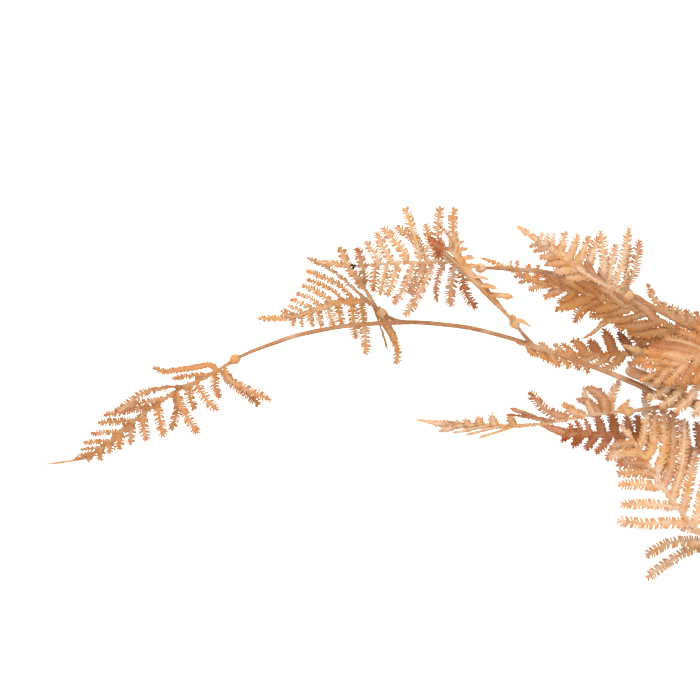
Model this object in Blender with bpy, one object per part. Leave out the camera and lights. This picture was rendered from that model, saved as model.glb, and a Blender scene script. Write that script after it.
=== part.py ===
"""A cut spray of dried-look fern: moulded leaf sprays pushed onto the pegs of thin branches, lying on a table."""

import bmesh
import bpy
import numpy as np
from mathutils import Matrix, Vector

# Driving dimensions, in millimetres. X runs along the stem, Z is up and the table is at zero.
BALL_RADIUS = 2.65
SOCKET_RADIUS = 1.2
PEG_RADIUS = 0.85
PEG_GAP = 0.5
RIB_WIDTH = 1.5
RIB_THICKNESS = 1.1
TIP_SCALE = 0.55
LAMINA_SHARE = 0.8
PINNA_ROOT = 1.6
PINNA_TIP = 0.8
SHORT_PINNA = 9.0
LONG_PINNA = 15.0
LEAST_PINNA = 2.2
TUBE_SIDES = 8

LIGHT = (0.79, 0.50, 0.31)
TAN = (0.69, 0.38, 0.21)
BROWN = (0.58, 0.27, 0.12)
DARK = (0.45, 0.19, 0.10)
STEM = (0.56, 0.30, 0.17)


def pinna(path, rise, width, turn):
    """One leaflet: its way over the table from the rib, its climb, its width and its turn about its own line."""
    return dict(path=path, rise=rise, width=width, turn=turn)


def fan(left, right, lean_left, lean_right, pairs, start, end):
    """Evenly spaced pairs of leaflets: their lengths and leans from base to tip."""
    return dict(left=left, right=right, lean_left=lean_left, lean_right=lean_right, pairs=pairs, start=start, end=end)


def blade(spine, pinnae, roll=0):
    """A rib with its leaflets, and the twist of its plane about the rib."""
    return dict(spine=spine, pinnae=pinnae, roll=roll)


# Each leaf: the peg that it sits on (a point, then the ball's middle), its blades, and any spurs on its ball.
LEAVES = {
    "tip_leaf": dict(
        peg=[(-247, 24, 47), (-253, 21, 46)],
        colour=TAN,
        blades=[
            blade(
                [(-253, 21, 46), (-259, 17.2, 46), (-268, 12, 45.5), (-280, 6.6, 43), (-290, 0, 41), (-300, -7, 38), (-311, -15.8, 34), (-321, -24, 29), (-328, -27.8, 25.5), (-337, -30.2, 21), (-351.5, -32.1, 16)],
                [
                    pinna([(-262.5, 15.6), (-264.5, 18.4), (-271, 17.4), (-277.4, 16.3), (-283.3, 15.5), (-289.2, 15), (-293.4, 17.3)], 5, 2.8, 20),
                    pinna([(-266, 13.5), (-275, 13), (-284, 11.6)], 2, 3.2, 30),
                    pinna([(-279, 7.2), (-285, 7.4), (-291, 6.4), (-296, 5.2), (-301, 3), (-307, -2), (-311, -5)], 6, 5, 70),
                    pinna([(-287.5, 1.5), (-300, -0.8), (-313, -4.2)], 3, 3.2, 40),
                    pinna([(-294, -3), (-306, -4.6), (-318.5, -6.8)], 1.5, 3.6, 30),
                    pinna([(-303.5, -9.5), (-312, -10.2), (-321.3, -10.6)], 1, 3.6, 20),
                    pinna([(-310, -15), (-325, -16.2)], 1, 3, 35),
                    pinna([(-315.5, -19.5), (-328.8, -20.8)], 1, 2.8, 35),
                    pinna([(-320, -23.2), (-330.3, -24.2)], 1, 2.4, 35),
                    pinna([(-324, -25.8), (-331.6, -26.9)], 1, 2.2, 35),
                    pinna([(-328, -27.8), (-333.8, -28.6)], 0.5, 1.8, 30),
                    pinna([(-258.5, 17.5), (-255.5, 11), (-248, 6.6), (-235, 0.8)], -5, 4.4, 15),
                    pinna([(-260.5, 16.2), (-254.5, 9), (-247, 3.8), (-240.8, -1.8)], -10, 4.4, 5),
                    pinna([(-262.5, 15), (-263, 10), (-263, 6.5), (-260.8, 2)], -7, 4.6, 10),
                    pinna([(-272.5, 10), (-270, 5), (-266, -0.4), (-261.7, -4.2)], -2, 4.8, 0),
                    pinna([(-275.5, 8.6), (-275.8, 3.5), (-274.8, -0.5), (-273.2, -3.8)], -7, 4.6, 10),
                    pinna([(-282.5, 5.2), (-280, -2), (-275.8, -9.5), (-271.8, -15.8)], -2, 4.8, -10),
                    pinna([(-285, 3.6), (-281.8, -1), (-282.6, -7), (-285, -14)], -9, 4.2, 15),
                    pinna([(-292, -1.5), (-290.8, -9), (-289, -17.2)], -4, 5, 0),
                    pinna([(-299.3, -6.4), (-299, -12.5), (-297.5, -19.2)], -4, 5, 10),
                    pinna([(-305.5, -11), (-305.5, -21.3)], -4, 5, 0),
                    pinna([(-311, -15.8), (-311.3, -23.4)], -3, 5, 5),
                    pinna([(-316, -20), (-316.2, -25.8)], -3, 4.6, 0),
                    pinna([(-321, -24), (-321, -29.4)], -2, 4.6, 0),
                    pinna([(-326, -26.8), (-327, -30.3)], -2, 3.6, 0),
                ],
            ),
        ],
    ),
    "arc_leaf": dict(
        peg=[(-172.5, 40.6, 53), (-179.5, 44, 50)],
        colour=TAN,
        blades=[
            blade(
                [(-179.5, 44, 50), (-183.5, 48, 50.5), (-188, 50.3, 50.5), (-196, 50.2, 50), (-204, 48.9, 48.5), (-212, 46, 46.5), (-221, 43.3, 44), (-229, 41.7, 41), (-242, 41.6, 37)],
                [
                    pinna([(-186, 49.4), (-192, 55), (-199.5, 61.8), (-207, 67), (-216.6, 71.8)], 9, 3.4, 60),
                    pinna([(-193, 50.5), (-200, 57.8), (-206.5, 61.3), (-217, 65.4)], 5, 3.2, 45),
                    pinna([(-198.5, 50), (-204, 55.6), (-210, 58.6), (-216.8, 60.9)], 3, 3.2, 30),
                    pinna([(-204, 49), (-211, 54.6), (-219, 57.9)], 3, 3.4, 20),
                    pinna([(-209, 47.4), (-215.5, 51.8), (-222, 54)], 2, 3.2, 30),
                    pinna([(-213, 45.8), (-219, 48.8), (-224.7, 51)], 2, 2.8, 35),
                    pinna([(-217.5, 44.5), (-226, 47.8)], 1, 2.4, 35),
                    pinna([(-221.5, 43.3), (-228.8, 46.3)], 1, 2.2, 35),
                    pinna([(-225, 42.4), (-230, 45.1)], 1, 2, 35),
                    pinna([(-184.5, 48.6), (-181.8, 42), (-179, 34), (-176.6, 26.2)], -20, 2.6, 60),
                    pinna([(-182, 46.6), (-177.6, 39), (-173.6, 32), (-171.6, 25), (-172.2, 18.6)], -24, 4.6, 20),
                    pinna([(-189.5, 50.4), (-189.3, 44), (-188, 36), (-187.3, 23.6)], -12, 4.2, 0),
                    pinna([(-194.7, 50.3), (-194, 44), (-193, 37), (-192.4, 31.6)], -12, 4.8, 15),
                    pinna([(-201.5, 49.4), (-200.8, 44), (-199.3, 38)], -8, 4.2, 15),
                    pinna([(-206.5, 48.2), (-205.5, 43), (-203.3, 37.9)], -6, 4.2, 20),
                    pinna([(-211.5, 46.2), (-210.8, 42), (-209.5, 37.8)], -4, 3.8, 20),
                    pinna([(-216, 44.9), (-215.2, 41), (-214, 37.8)], -4, 3.6, 20),
                    pinna([(-219.8, 43.5), (-219.3, 37.4)], -3, 3, 20),
                    pinna([(-224, 42.6), (-223.8, 38.1)], -2, 3, 20),
                ],
            ),
            blade(
                [(-183, 47.5, 50.5), (-186.5, 53.8, 59), (-190.8, 59.5, 68), (-196.2, 67, 76.5), (-200.6, 77, 81)],
                [
                    pinna([(-188.5, 57), (-188.3, 63), (-189.6, 69), (-191.8, 76.4)], 20, 5, -10),
                ],
            ),
        ],
    ),
    "upper_tip_leaf": dict(
        peg=[(-124, 66.6, 62), (-130.5, 66.5, 62)],
        colour=LIGHT,
        blades=[
            blade(
                [(-130.5, 66.5, 62), (-137, 68.3, 66), (-146, 69.3, 71), (-158, 69.2, 76), (-170, 69, 77), (-180, 68.5, 75), (-190, 67.8, 69), (-200, 68.3, 64), (-211, 69.8, 61)],
                [
                    pinna([(-141, 68.8), (-143.6, 80), (-144.3, 90), (-143.4, 96.3)], 4, 4.6, 15),
                    pinna([(-147, 69.3), (-151.3, 79), (-151.8, 88), (-150.4, 96.6)], 3, 4.6, 0),
                    pinna([(-152, 69.3), (-155.5, 79), (-157.8, 88)], 2, 4.2, 10),
                    pinna([(-156.5, 69.2), (-160.5, 77.5), (-166, 82.6), (-172.6, 86.6)], 1, 4.4, 15),
                    pinna([(-160.5, 69.1), (-161.8, 76.5), (-164, 84), (-168.2, 96)], 4, 4.6, 0),
                    pinna([(-166.5, 69), (-170, 76), (-174.3, 81), (-179, 86)], 3, 4.8, 0),
                    pinna([(-174.5, 68.8), (-178, 75), (-180.2, 79), (-182.2, 83.7)], 3, 4.8, 10),
                    pinna([(-180.5, 68.5), (-183.8, 74.5), (-187.5, 79.3)], 3, 4.4, 10),
                    pinna([(-182.5, 68.3), (-183.2, 62), (-184, 55.4)], -2, 4.6, 0),
                    pinna([(-177, 68.6), (-178.5, 62), (-180.5, 53.4)], -2, 4.4, 20),
                    pinna([(-171.5, 68.9), (-173.7, 61.5), (-176.8, 52.8)], -3, 4.8, 10),
                    pinna([(-163.8, 69.1), (-166, 62), (-169.5, 55), (-173.8, 48.8)], -4, 4.8, 0),
                    pinna([(-158.5, 69), (-162, 61), (-165.3, 53.6)], -4, 4.6, 20),
                    pinna([(-154, 69.2), (-158.8, 58.5), (-163, 50.5), (-168, 42.6)], -6, 4.8, 0),
                    pinna([(-148.5, 69), (-151.5, 62.5), (-152.6, 56), (-152.2, 50)], -4, 4.2, 30),
                    pinna([(-143.5, 68.8), (-144.6, 60), (-145.8, 53), (-145, 47.8)], -6, 5, 5),
                    pinna([(-139.5, 68.5), (-139, 59), (-137, 52.5), (-132.7, 46.8)], -8, 4.8, 0),
                ],
            ),
        ],
    ),
    "twig_leaf": dict(
        peg=[(-108.5, 33, 55), (-113.5, 39, 60)],
        colour=TAN,
        blades=[
            blade(
                [(-113.5, 39, 60), (-117, 43, 66), (-124.5, 51, 73), (-131, 58, 79), (-137, 65, 84), (-142, 71.5, 87), (-146.5, 75.5, 89), (-150.5, 76.5, 90), (-154, 78.5, 90), (-156.5, 82, 88)],
                [
                    pinna([(-126.5, 53.3), (-122, 53), (-118, 52.4), (-114.4, 52)], 1, 3.2, 15),
                    pinna([(-131, 58), (-127, 57.6), (-122.5, 56.2)], 1, 2.6, 15),
                    pinna([(-134.5, 62), (-131, 62), (-126.7, 60.6)], 0, 1.8, 25),
                    pinna([(-138, 66.3), (-135, 67.4), (-131, 66.6)], -3, 2.6, 0),
                    pinna([(-140.5, 69.5), (-137.5, 71.6), (-133.8, 71.3)], -4, 2.8, 0),
                    pinna([(-142.5, 72), (-141, 75.4), (-137.6, 75.8)], -4, 2.2, 20),
                    pinna([(-144, 73.5), (-143, 77.5), (-139.2, 79.6)], -4, 2.2, 20),
                    pinna([(-145.5, 74.8), (-145.2, 79.5), (-142.2, 82.6)], -3, 2.2, 20),
                    pinna([(-145.5, 75.2), (-146, 81), (-148.2, 84.5), (-151, 87)], -2, 2.6, 50),
                    pinna([(-148.8, 76.2), (-149.4, 79), (-151.5, 81)], -2, 2.4, 50),
                    pinna([(-127.5, 54.3), (-135.5, 61), (-142, 68), (-149, 73.5)], 2, 3, 50),
                    pinna([(-132, 59.2), (-138.5, 65), (-145, 71), (-151, 76)], 3, 3, 50),
                    pinna([(-151.5, 77), (-152.5, 74.5), (-150.8, 71.8)], -2, 4.4, 10),
                ],
            ),
        ],
        spurs=[[(-113, 40, 61), (-109.8, 40.2, 62), (-105.2, 37.2, 62), 1.4], [(-113.8, 40.5, 61), (-114.5, 42.3, 62), (-115, 43.8, 62), 1.7]],
    ),
    "upper_side_leaf": dict(
        peg=[(-53.2, 52.7, 65), (-57, 53.5, 70)],
        colour=LIGHT,
        blades=[
            blade(
                [(-57, 53.5, 70), (-62, 55.5, 74), (-68.5, 58.5, 77), (-75.5, 62.5, 79), (-82, 67.3, 79), (-88.7, 72, 78), (-95, 76.3, 77), (-103, 80.8, 75), (-112.5, 87.2, 73)],
                [
                    pinna([(-60.5, 54.8), (-54.5, 64), (-52.8, 72), (-51.8, 79.8)], 2, 4.6, 5),
                    pinna([(-62.5, 55.7), (-58.6, 60), (-58, 68), (-56.6, 77.4)], 0, 3.6, 45),
                    pinna([(-64.5, 56.6), (-60.8, 67), (-58.6, 77), (-57, 86)], 3, 4.2, 0),
                    pinna([(-68, 58.3), (-66, 68), (-63.4, 78)], 2, 4.2, 10),
                    pinna([(-71.5, 60.2), (-69.8, 66), (-69.8, 74), (-71.2, 84.6)], 3, 4.4, 0),
                    pinna([(-78.5, 64.5), (-75.5, 73), (-73, 81)], 2, 4.4, 10),
                    pinna([(-83, 68), (-79.5, 75), (-77, 82)], 2, 4.2, 10),
                    pinna([(-87, 70.8), (-84.5, 76.5), (-82.2, 82.4)], 2, 4.2, 10),
                    pinna([(-91.3, 73.8), (-89.8, 79), (-88.4, 84.2)], 1, 4, 10),
                    pinna([(-95.5, 76.6), (-94.3, 83.2)], 1, 3, 10),
                    pinna([(-98.5, 78.3), (-97.3, 83.4)], 1, 2.2, 10),
                    pinna([(-101, 79.8), (-100.2, 84.2)], 1, 2, 10),
                    pinna([(-100, 79.2), (-106.2, 77)], -1, 2.6, 10),
                    pinna([(-95.5, 76.5), (-104.2, 74.8)], -1, 2.8, 10),
                    pinna([(-90.5, 73.2), (-101, 71.6)], -2, 4, 10),
                    pinna([(-86, 70), (-98.4, 68.4)], -2.4, 4.2, 0),
                    pinna([(-81, 66.5), (-94, 64.8)], -2.8, 4.6, 0),
                    pinna([(-75.5, 62.5), (-88, 62)], -3.2, 4.6, 0),
                    pinna([(-69, 58.8), (-74, 62.6), (-79.3, 70)], 5, 3.6, 35),
                    pinna([(-66.5, 57.5), (-69, 60.5), (-72.6, 65.5)], 4, 2.4, 40),
                ],
            ),
        ],
    ),
    "brown_leaf": dict(
        peg=[(3, 18.5, 43), (-4, 20, 40)],
        colour=BROWN,
        blades=[
            blade(
                [(-4, 20, 40), (-10, 24, 40), (-25, 32, 41), (-42.5, 41.5, 42), (-60, 49.5, 42), (-75, 53.8, 42), (-90, 57, 42), (-103, 61, 42), (-116, 66.5, 41), (-130.5, 72.3, 38)],
                [
                    pinna([(-112, 64.6), (-111.5, 70.4)], 1, 2.4, 30),
                    pinna([(-115, 66), (-115, 70.4)], 1, 2, 30),
                    pinna([(-107, 62.6), (-106, 68.7)], 1, 2.6, 20),
                    pinna([(-102.5, 60.8), (-101.2, 68.2)], 1, 3, 20),
                    pinna([(-92, 57.5), (-96, 61), (-101, 65)], 1, 4.4, 0),
                    pinna([(-85, 55.9), (-90, 59.5), (-97, 63)], 1, 4.6, 0),
                    pinna([(-77, 54.2), (-82, 57.8), (-90, 61.2)], 1.6, 4.6, 0),
                    pinna([(-69, 52.3), (-74, 56.5), (-82, 60.5)], 1, 4.6, 0),
                    pinna([(-60.5, 49.6), (-65, 54), (-73, 59.5)], 1, 4.6, 0),
                    pinna([(-52, 46), (-56, 51), (-63, 57)], 1, 4.8, 0),
                    pinna([(-43, 41.8), (-47, 46.5), (-54, 52)], 1, 4.8, 0),
                    pinna([(-107.5, 62.8), (-113.3, 62.7)], -1, 2.2, 20),
                    pinna([(-101, 60.3), (-105, 61), (-110.7, 59.4)], -1, 3, 10),
                    pinna([(-95.5, 58.6), (-100, 58.3), (-105.8, 56)], -1, 4, 0),
                    pinna([(-89, 56.8), (-93, 54.8), (-97.8, 52)], -2, 4.6, 0),
                    pinna([(-82, 55.3), (-86, 51.5), (-91, 50)], -2, 5, 0),
                    pinna([(-75, 53.8), (-82, 49.3), (-92.4, 46)], -3, 5, 0),
                    pinna([(-68, 52), (-75.5, 48.8), (-80.5, 44.5), (-82.8, 39.9)], -4, 5, 10),
                    pinna([(-61, 49.8), (-68, 46.8), (-77, 46.5)], -2, 4.8, 0),
                    pinna([(-54, 47), (-64, 44), (-75, 42.6)], -3, 4.2, 0),
                    pinna([(-47, 43.8), (-57, 41.3), (-67.3, 40), (-73, 35), (-78.5, 31.6)], -2, 3.6, 40),
                    pinna([(-40, 40.3), (-51, 37.8), (-62.8, 38)], -2, 4.8, 0),
                    pinna([(-33, 36.6), (-44, 34.5), (-56, 34.5)], -3, 5.2, 0),
                    pinna([(-26, 32.6), (-38, 31.5), (-52.5, 30.7)], -4, 5.2, 0),
                    pinna([(-18, 28.3), (-30, 27.5), (-45, 27)], -5, 5, 0),
                ],
            ),
        ],
    ),
    "inner_leaf": dict(
        peg=[(0, 12, 28), (-6, 18, 26)],
        colour=BROWN,
        blades=[
            blade(
                [(-6, 18, 26), (-13, 21, 26), (-30, 23.5, 27), (-50, 24.3, 27), (-70, 23.4, 26), (-86, 23.8, 24), (-99, 26.3, 21), (-112, 29.5, 18)],
                [
                    pinna([(-36, 24), (-42, 30), (-49, 35)], 4, 5, 0),
                    pinna([(-44, 24.3), (-49, 28), (-54, 33)], 3, 5, 10),
                    pinna([(-53, 24.2), (-57, 29.5), (-60.3, 34.5)], 2, 5, 0),
                    pinna([(-62.5, 23.7), (-65, 30), (-67.6, 35.8)], 2, 5, 0),
                    pinna([(-70.5, 23.4), (-72.3, 27), (-75, 30.3)], 1, 5, 10),
                    pinna([(-77, 23.5), (-80, 28), (-83.6, 30.6)], 1, 4.8, 10),
                    pinna([(-83.5, 23.7), (-86, 26.8), (-88.8, 29)], 1, 3.6, 20),
                    pinna([(-89, 24.3), (-91, 27.5), (-92.8, 28.6)], 1, 2.8, 20),
                    pinna([(-96, 25.6), (-98, 28), (-100.5, 29.3)], 1, 2.8, 20),
                    pinna([(-48, 24.3), (-50, 21), (-55, 18.3)], -1, 5, 0),
                    pinna([(-58, 24), (-62, 19.3), (-66.8, 16.4)], -1, 4.8, 10),
                    pinna([(-65, 23.6), (-69, 20), (-73, 17.8)], -1, 4.4, 10),
                    pinna([(-71.5, 23.4), (-75.5, 21), (-79, 20)], -1, 3, 10),
                    pinna([(-77.5, 23.5), (-78, 19), (-75.5, 14.8)], -1, 4, 10),
                    pinna([(-82.5, 23.7), (-82.3, 19.5), (-80.5, 16.2)], -1, 4, 10),
                    pinna([(-88, 24.2), (-87.3, 20.5), (-85, 17.3)], -1, 4.2, 10),
                    pinna([(-93.5, 25), (-93, 21), (-90, 18)], -1, 4.6, 10),
                    pinna([(-99, 26.3), (-98.3, 23), (-95, 20.4)], -1, 4.4, 10),
                    pinna([(-105, 28), (-104, 25), (-100.5, 22.8)], -1, 4, 10),
                ],
            ),
        ],
    ),
    "crossing_leaf": dict(
        peg=[(8, 23.5, 57), (2, 27, 58)],
        colour=BROWN,
        blades=[
            blade(
                [(2, 27, 58), (-4, 27.8, 59.5), (-20, 24, 61), (-32, 19.5, 60), (-42.5, 14.5, 57), (-51, 10.5, 53)],
                [
                    pinna([(-7, 27.3), (-14, 33), (-24, 38)], 1, 5, 0),
                    pinna([(-12, 26), (-20, 31), (-32, 35)], 1, 5, 0),
                    pinna([(-17, 24.8), (-27, 29), (-39, 31.5)], 0, 5, 0),
                    pinna([(-22, 23.4), (-32, 26.5), (-45, 28)], 0, 5, 0),
                    pinna([(-27, 21.5), (-37, 23.5), (-49, 24.8)], 0, 5, 0),
                    pinna([(-32, 19.5), (-42, 20.8), (-52.5, 20.5)], 0, 4.6, 0),
                    pinna([(-37.5, 17), (-44, 17.5), (-50, 17.3)], 0, 3.6, 0),
                    pinna([(-8, 27.1), (-10, 20), (-17, 12)], -2, 5, 0),
                    pinna([(-14.5, 25.4), (-17, 18), (-24, 10)], -2, 5, 0),
                    pinna([(-21, 23.7), (-24, 17), (-31, 9)], -2, 5, 0),
                    pinna([(-28, 21.1), (-31, 16), (-37.5, 9)], -2, 4.8, 0),
                    pinna([(-35, 18.2), (-38.5, 14.5), (-43.5, 9)], -2, 4.2, 0),
                ],
            ),
        ],
    ),
    "stem_leaf": dict(
        peg=[(5, 7, 50), (0, 11, 51)],
        colour=LIGHT,
        blades=[
            blade(
                [(0, 11, 51), (-6, 13, 52), (-14, 12.5, 52.5), (-26, 9, 52), (-37.5, 7.5, 50.5), (-49, 9.5, 49)],
                [
                    pinna([(-10, 12.9), (-17, 18), (-27, 22)], 2, 4.6, 0),
                    pinna([(-18, 11.7), (-27, 18), (-38, 21), (-50, 24.8), (-59.5, 28.2)], 8, 3.2, 20),
                    pinna([(-16, 12.1), (-24, 16), (-34, 18.5)], 1.5, 4.6, 0),
                    pinna([(-23, 9.9), (-31, 13), (-41, 15)], 1, 4.4, 0),
                    pinna([(-31, 8.2), (-38, 11), (-46, 13)], 1, 3.6, 10),
                    pinna([(-13, 12.6), (-16, 4), (-24, -7)], -0.5, 4.8, 0),
                    pinna([(-20, 11), (-24, 4), (-32.5, -5)], -0.5, 4.8, 0),
                    pinna([(-28, 8.7), (-32.5, 3), (-40.5, -2.5)], -0.5, 4.6, 0),
                    pinna([(-36, 7.6), (-40.5, 4), (-47, 1.8)], -0.5, 4, 0),
                ],
            ),
        ],
    ),
    "lower_tip_leaf": dict(
        peg=[(-49.5, -4.2, 38), (-56, -5, 38)],
        colour=LIGHT,
        blades=[
            blade(
                [(-56, -5, 38), (-62, -5.2, 38), (-70, -6, 39), (-82.5, -8, 40), (-97.5, -11, 40), (-112.5, -12.3, 38), (-130, -12.3, 34), (-147.5, -11.6, 29), (-162, -9.2, 24)],
                [
                    pinna([(-145.5, -11.7), (-147, -9.8)], 1, 3, 10),
                    pinna([(-141, -12), (-142.8, -9.8)], 1, 3, 10),
                    pinna([(-136, -12.3), (-138, -9)], 1, 3.8, 10),
                    pinna([(-129.5, -12.3), (-131.6, -8)], 1, 4.4, 10),
                    pinna([(-122.5, -12.4), (-124.8, -7)], 1, 4.4, 10),
                    pinna([(-113.5, -12.4), (-115.8, -6.8)], 1, 4.2, 10),
                    pinna([(-98, -11), (-104, -7.3), (-115.5, -3.3)], 4, 2.4, 40),
                    pinna([(-93, -10), (-103, -8.3), (-116, -6.4)], 3, 3.8, 40),
                    pinna([(-86, -8.6), (-94, -6), (-100, -2), (-105.3, 4.5)], 5, 5, 20),
                    pinna([(-78, -7.2), (-83.5, -5), (-88.5, -1.2)], 4, 4.6, 10),
                    pinna([(-73.5, -6.5), (-77, 0), (-78.5, 6.8)], 5, 3.4, 30),
                    pinna([(-70.5, -6), (-75, -1), (-82, 1.2)], 4, 4.4, 20),
                    pinna([(-68, -5.8), (-68.5, 0.5), (-71.5, 4), (-77, 7)], 7, 5.6, 25),
                    pinna([(-64.5, -5.4), (-64.8, 0), (-63.2, 5), (-60.5, 9.8)], -2, 4.4, 20),
                    pinna([(-61, -5.1), (-57.5, -2), (-55.8, 0.5)], 2, 3, 0),
                    pinna([(-140, -12.1), (-145, -13.6), (-150.5, -15)], -1, 2.6, 30),
                    pinna([(-128, -12.3), (-135, -14.2), (-144.5, -15.9)], -1, 1.7, 20),
                    pinna([(-120, -12.4), (-128, -14.5), (-138, -17)], -1, 1.5, 20),
                    pinna([(-112.5, -12.3), (-120, -14.8), (-131, -18.2)], -1, 1.5, 20),
                ],
            ),
        ],
    ),
    "dark_leaf": dict(
        peg=[(3, -27.4, 23), (-4, -28, 21)],
        colour=DARK,
        blades=[
            blade(
                [(-4, -28, 21), (-11, -27, 20.5), (-20, -25, 20.5), (-28, -22.5, 21), (-42.5, -18, 22), (-60, -17, 22), (-74.5, -16.7, 21), (-86, -16, 19), (-93, -14, 17.5), (-100, -11.6, 16)],
                [
                    pinna([(-83, -16.2), (-85, -11.3)], 1, 3, 10),
                    pinna([(-79, -16.5), (-81.5, -9.9)], 1, 3, 10),
                    pinna([(-74.5, -16.7), (-77, -9.2)], 1, 3, 20),
                    pinna([(-68.5, -16.8), (-70.3, -10), (-73, -5.6)], 2, 4.6, 10),
                    pinna([(-62, -17), (-63, -10), (-65, -4.5)], 2, 4.8, 0),
                    pinna([(-55, -17), (-56, -8)], 2, 5, 0),
                    pinna([(-49, -17.4), (-51, -7.5)], 2, 5, 0),
                    pinna([(-41, -18.4), (-42, -8)], 2, 5, 0),
                    pinna([(-34, -20.5), (-35, -9)], 2, 5, 0),
                    pinna([(-26, -23), (-28, -10)], 2, 5, 0),
                    pinna([(-18, -25.5), (-21, -11)], 2, 5, 0),
                    pinna([(-84.5, -16.2), (-88.8, -20)], -1, 3.4, 0),
                    pinna([(-78.5, -16.5), (-83.2, -22.6)], -1, 4.4, 0),
                    pinna([(-71.5, -16.8), (-76.6, -24.2)], -1, 4.2, 0),
                    pinna([(-64.5, -17), (-67.5, -21.5), (-71.4, -25.8)], -1, 4, 10),
                    pinna([(-58, -17.2), (-61, -22), (-65.8, -29)], -1, 4.6, 0),
                    pinna([(-51, -17.2), (-54, -23), (-60, -31)], -1, 5, 0),
                    pinna([(-43, -18), (-45, -25), (-52, -34)], -1, 5, 0),
                    pinna([(-34, -20.5), (-36, -28), (-42, -38)], -1, 5, 0),
                    pinna([(-25, -23.5), (-27, -31), (-32, -42)], -1, 5, 0),
                ],
            ),
        ],
    ),
    "lower_leaf": dict(
        peg=[(0.5, -80.5, 36), (-6, -79, 35)],
        colour=LIGHT,
        blades=[
            blade(
                [(-6, -79, 35), (-11, -74.5, 36.5), (-20, -66, 39), (-32, -52.5, 41), (-45.5, -32.5, 40), (-53, -20, 36), (-60, -11.5, 30)],
                [
                    pinna([(-12, -73.6), (-20, -73), (-32, -79), (-45.5, -89.3)], -34.4, 5.2, 0),
                    pinna([(-15, -70.9), (-25, -70), (-36, -71.7), (-46.2, -78)], -22, 5, 0),
                    pinna([(-20.5, -65.5), (-25, -64), (-29.3, -64)], -1, 3.4, 0),
                    pinna([(-24.8, -60.8), (-36, -60.8), (-48, -61.2), (-61, -59.8)], -1, 5.2, 0),
                    pinna([(-31.5, -53), (-46, -51.3), (-59.4, -51.8)], -1, 5, 0),
                    pinna([(-38.5, -43.3), (-50, -41.5), (-60.5, -41.7)], -1, 4.8, 0),
                    pinna([(-42.5, -37.3), (-52, -35.6), (-61, -36)], -1, 4.6, 15),
                    pinna([(-46, -31.7), (-54, -31), (-61.2, -31.6)], -1, 4.8, 10),
                    pinna([(-49.3, -26.3), (-58, -26), (-66, -28.3)], -1, 4.6, 0),
                    pinna([(-52.5, -20.9), (-59, -21.5), (-64.5, -23)], -1, 4.2, 0),
                    pinna([(-50.5, -24.3), (-47.4, -14), (-46.8, -4), (-47.4, 4.6)], -5, 4.4, 0),
                    pinna([(-47, -30), (-43, -19), (-43, -4)], -6.5, 4.6, 0),
                    pinna([(-42.8, -36.8), (-38.5, -27), (-37.8, -16), (-38, -3)], -7, 4.6, 10),
                    pinna([(-38.8, -42.8), (-34.3, -32), (-33.5, -18), (-33, -5)], -7.5, 4.8, 0),
                    pinna([(-34.3, -49.5), (-30.5, -38), (-28.3, -25), (-28, -10)], -3, 4.8, 5),
                    pinna([(-29, -56), (-26.5, -46), (-24.5, -36), (-22, -26)], -2, 5, 0),
                    pinna([(-23, -62.8), (-20.5, -52), (-18, -42), (-14, -32)], -2, 5, 0),
                    pinna([(-16.5, -69.4), (-12.5, -60), (-8, -50)], -1, 5, 0),
                ],
            ),
        ],
    ),
    "back_leaf": dict(
        peg=[(10, 21.5, 46.5), (4, 25, 46)],
        colour=TAN,
        blades=[
            blade(
                [(4, 25, 46), (-1, 29, 46), (-10, 33.5, 46), (-22, 38, 46), (-33.5, 43.5, 46), (-41.5, 49, 47), (-44.5, 53.5, 48), (-47, 59.3, 48)],
                [
                    pinna([(-36.5, 45.4), (-38.8, 49.6)], 1, 3, 10),
                    pinna([(-32.5, 43), (-35, 47.9)], 1, 3.2, 10),
                    pinna([(-28.5, 40.9), (-31.8, 46.6)], 1, 3.8, 10),
                    pinna([(-23.5, 38.6), (-27.6, 45.6)], 1, 4.4, 10),
                    pinna([(-18, 36.4), (-22.5, 44.5)], 1, 4.6, 10),
                    pinna([(-12, 34.3), (-17, 43.5)], 1, 4.6, 10),
                    pinna([(-6.5, 31.9), (-10, 42)], 1, 4.6, 10),
                    pinna([(-30, 41.7), (-36, 42.5)], -1, 3.6, 0),
                    pinna([(-22, 38), (-32, 38)], -1, 4.4, 0),
                    pinna([(-14, 35), (-25, 33.5)], -1, 4.6, 0),
                    pinna([(-7, 32.2), (-18, 30)], -1, 4.6, 0),
                ],
            ),
        ],
    ),
    "high_leaf": dict(
        peg=[(44, 14, 46.5), (40, 20, 48)],
        colour=TAN,
        blades=[
            blade(
                [(40, 20, 48), (37, 25, 50), (30, 37, 55), (20, 52, 59), (10, 66, 58), (0, 79, 53), (-7, 90, 47)],
                fan((15, 17, 16, 12, 7, 3), (15, 17, 16, 12, 7, 3), (58, 55, 50), (62, 58, 50), 12, 0.16, 0.95),
            ),
        ],
    ),
    "low_leaf": dict(
        peg=[(86, -46, 27), (81, -51, 26)],
        colour=BROWN,
        blades=[
            blade(
                [(81, -51, 26), (76, -55, 25.5), (66, -63, 24), (50, -73, 18), (35, -81, 11), (21, -89, 5), (10, -96, 1.1)],
                fan((13, 15, 14, 11, 7, 3), (13, 15, 14, 11, 7, 3), (60, 55, 50), (60, 55, 50), 12, 0.16, 0.94),
            ),
        ],
    ),
    "rear_leaf": dict(
        peg=[(100, -13, 36), (95, -8, 37)],
        colour=LIGHT,
        blades=[
            blade(
                [(95, -8, 37), (90, -2.5, 37.5), (82, 10, 36), (70, 32, 30), (60, 53, 20), (52, 74, 9), (47, 92, 1.1)],
                fan((17, 19, 18, 14, 9, 4), (17, 19, 18, 14, 9, 4), (60, 56, 50), (60, 56, 50), 14, 0.15, 0.95),
            ),
        ],
    ),
}


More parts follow.
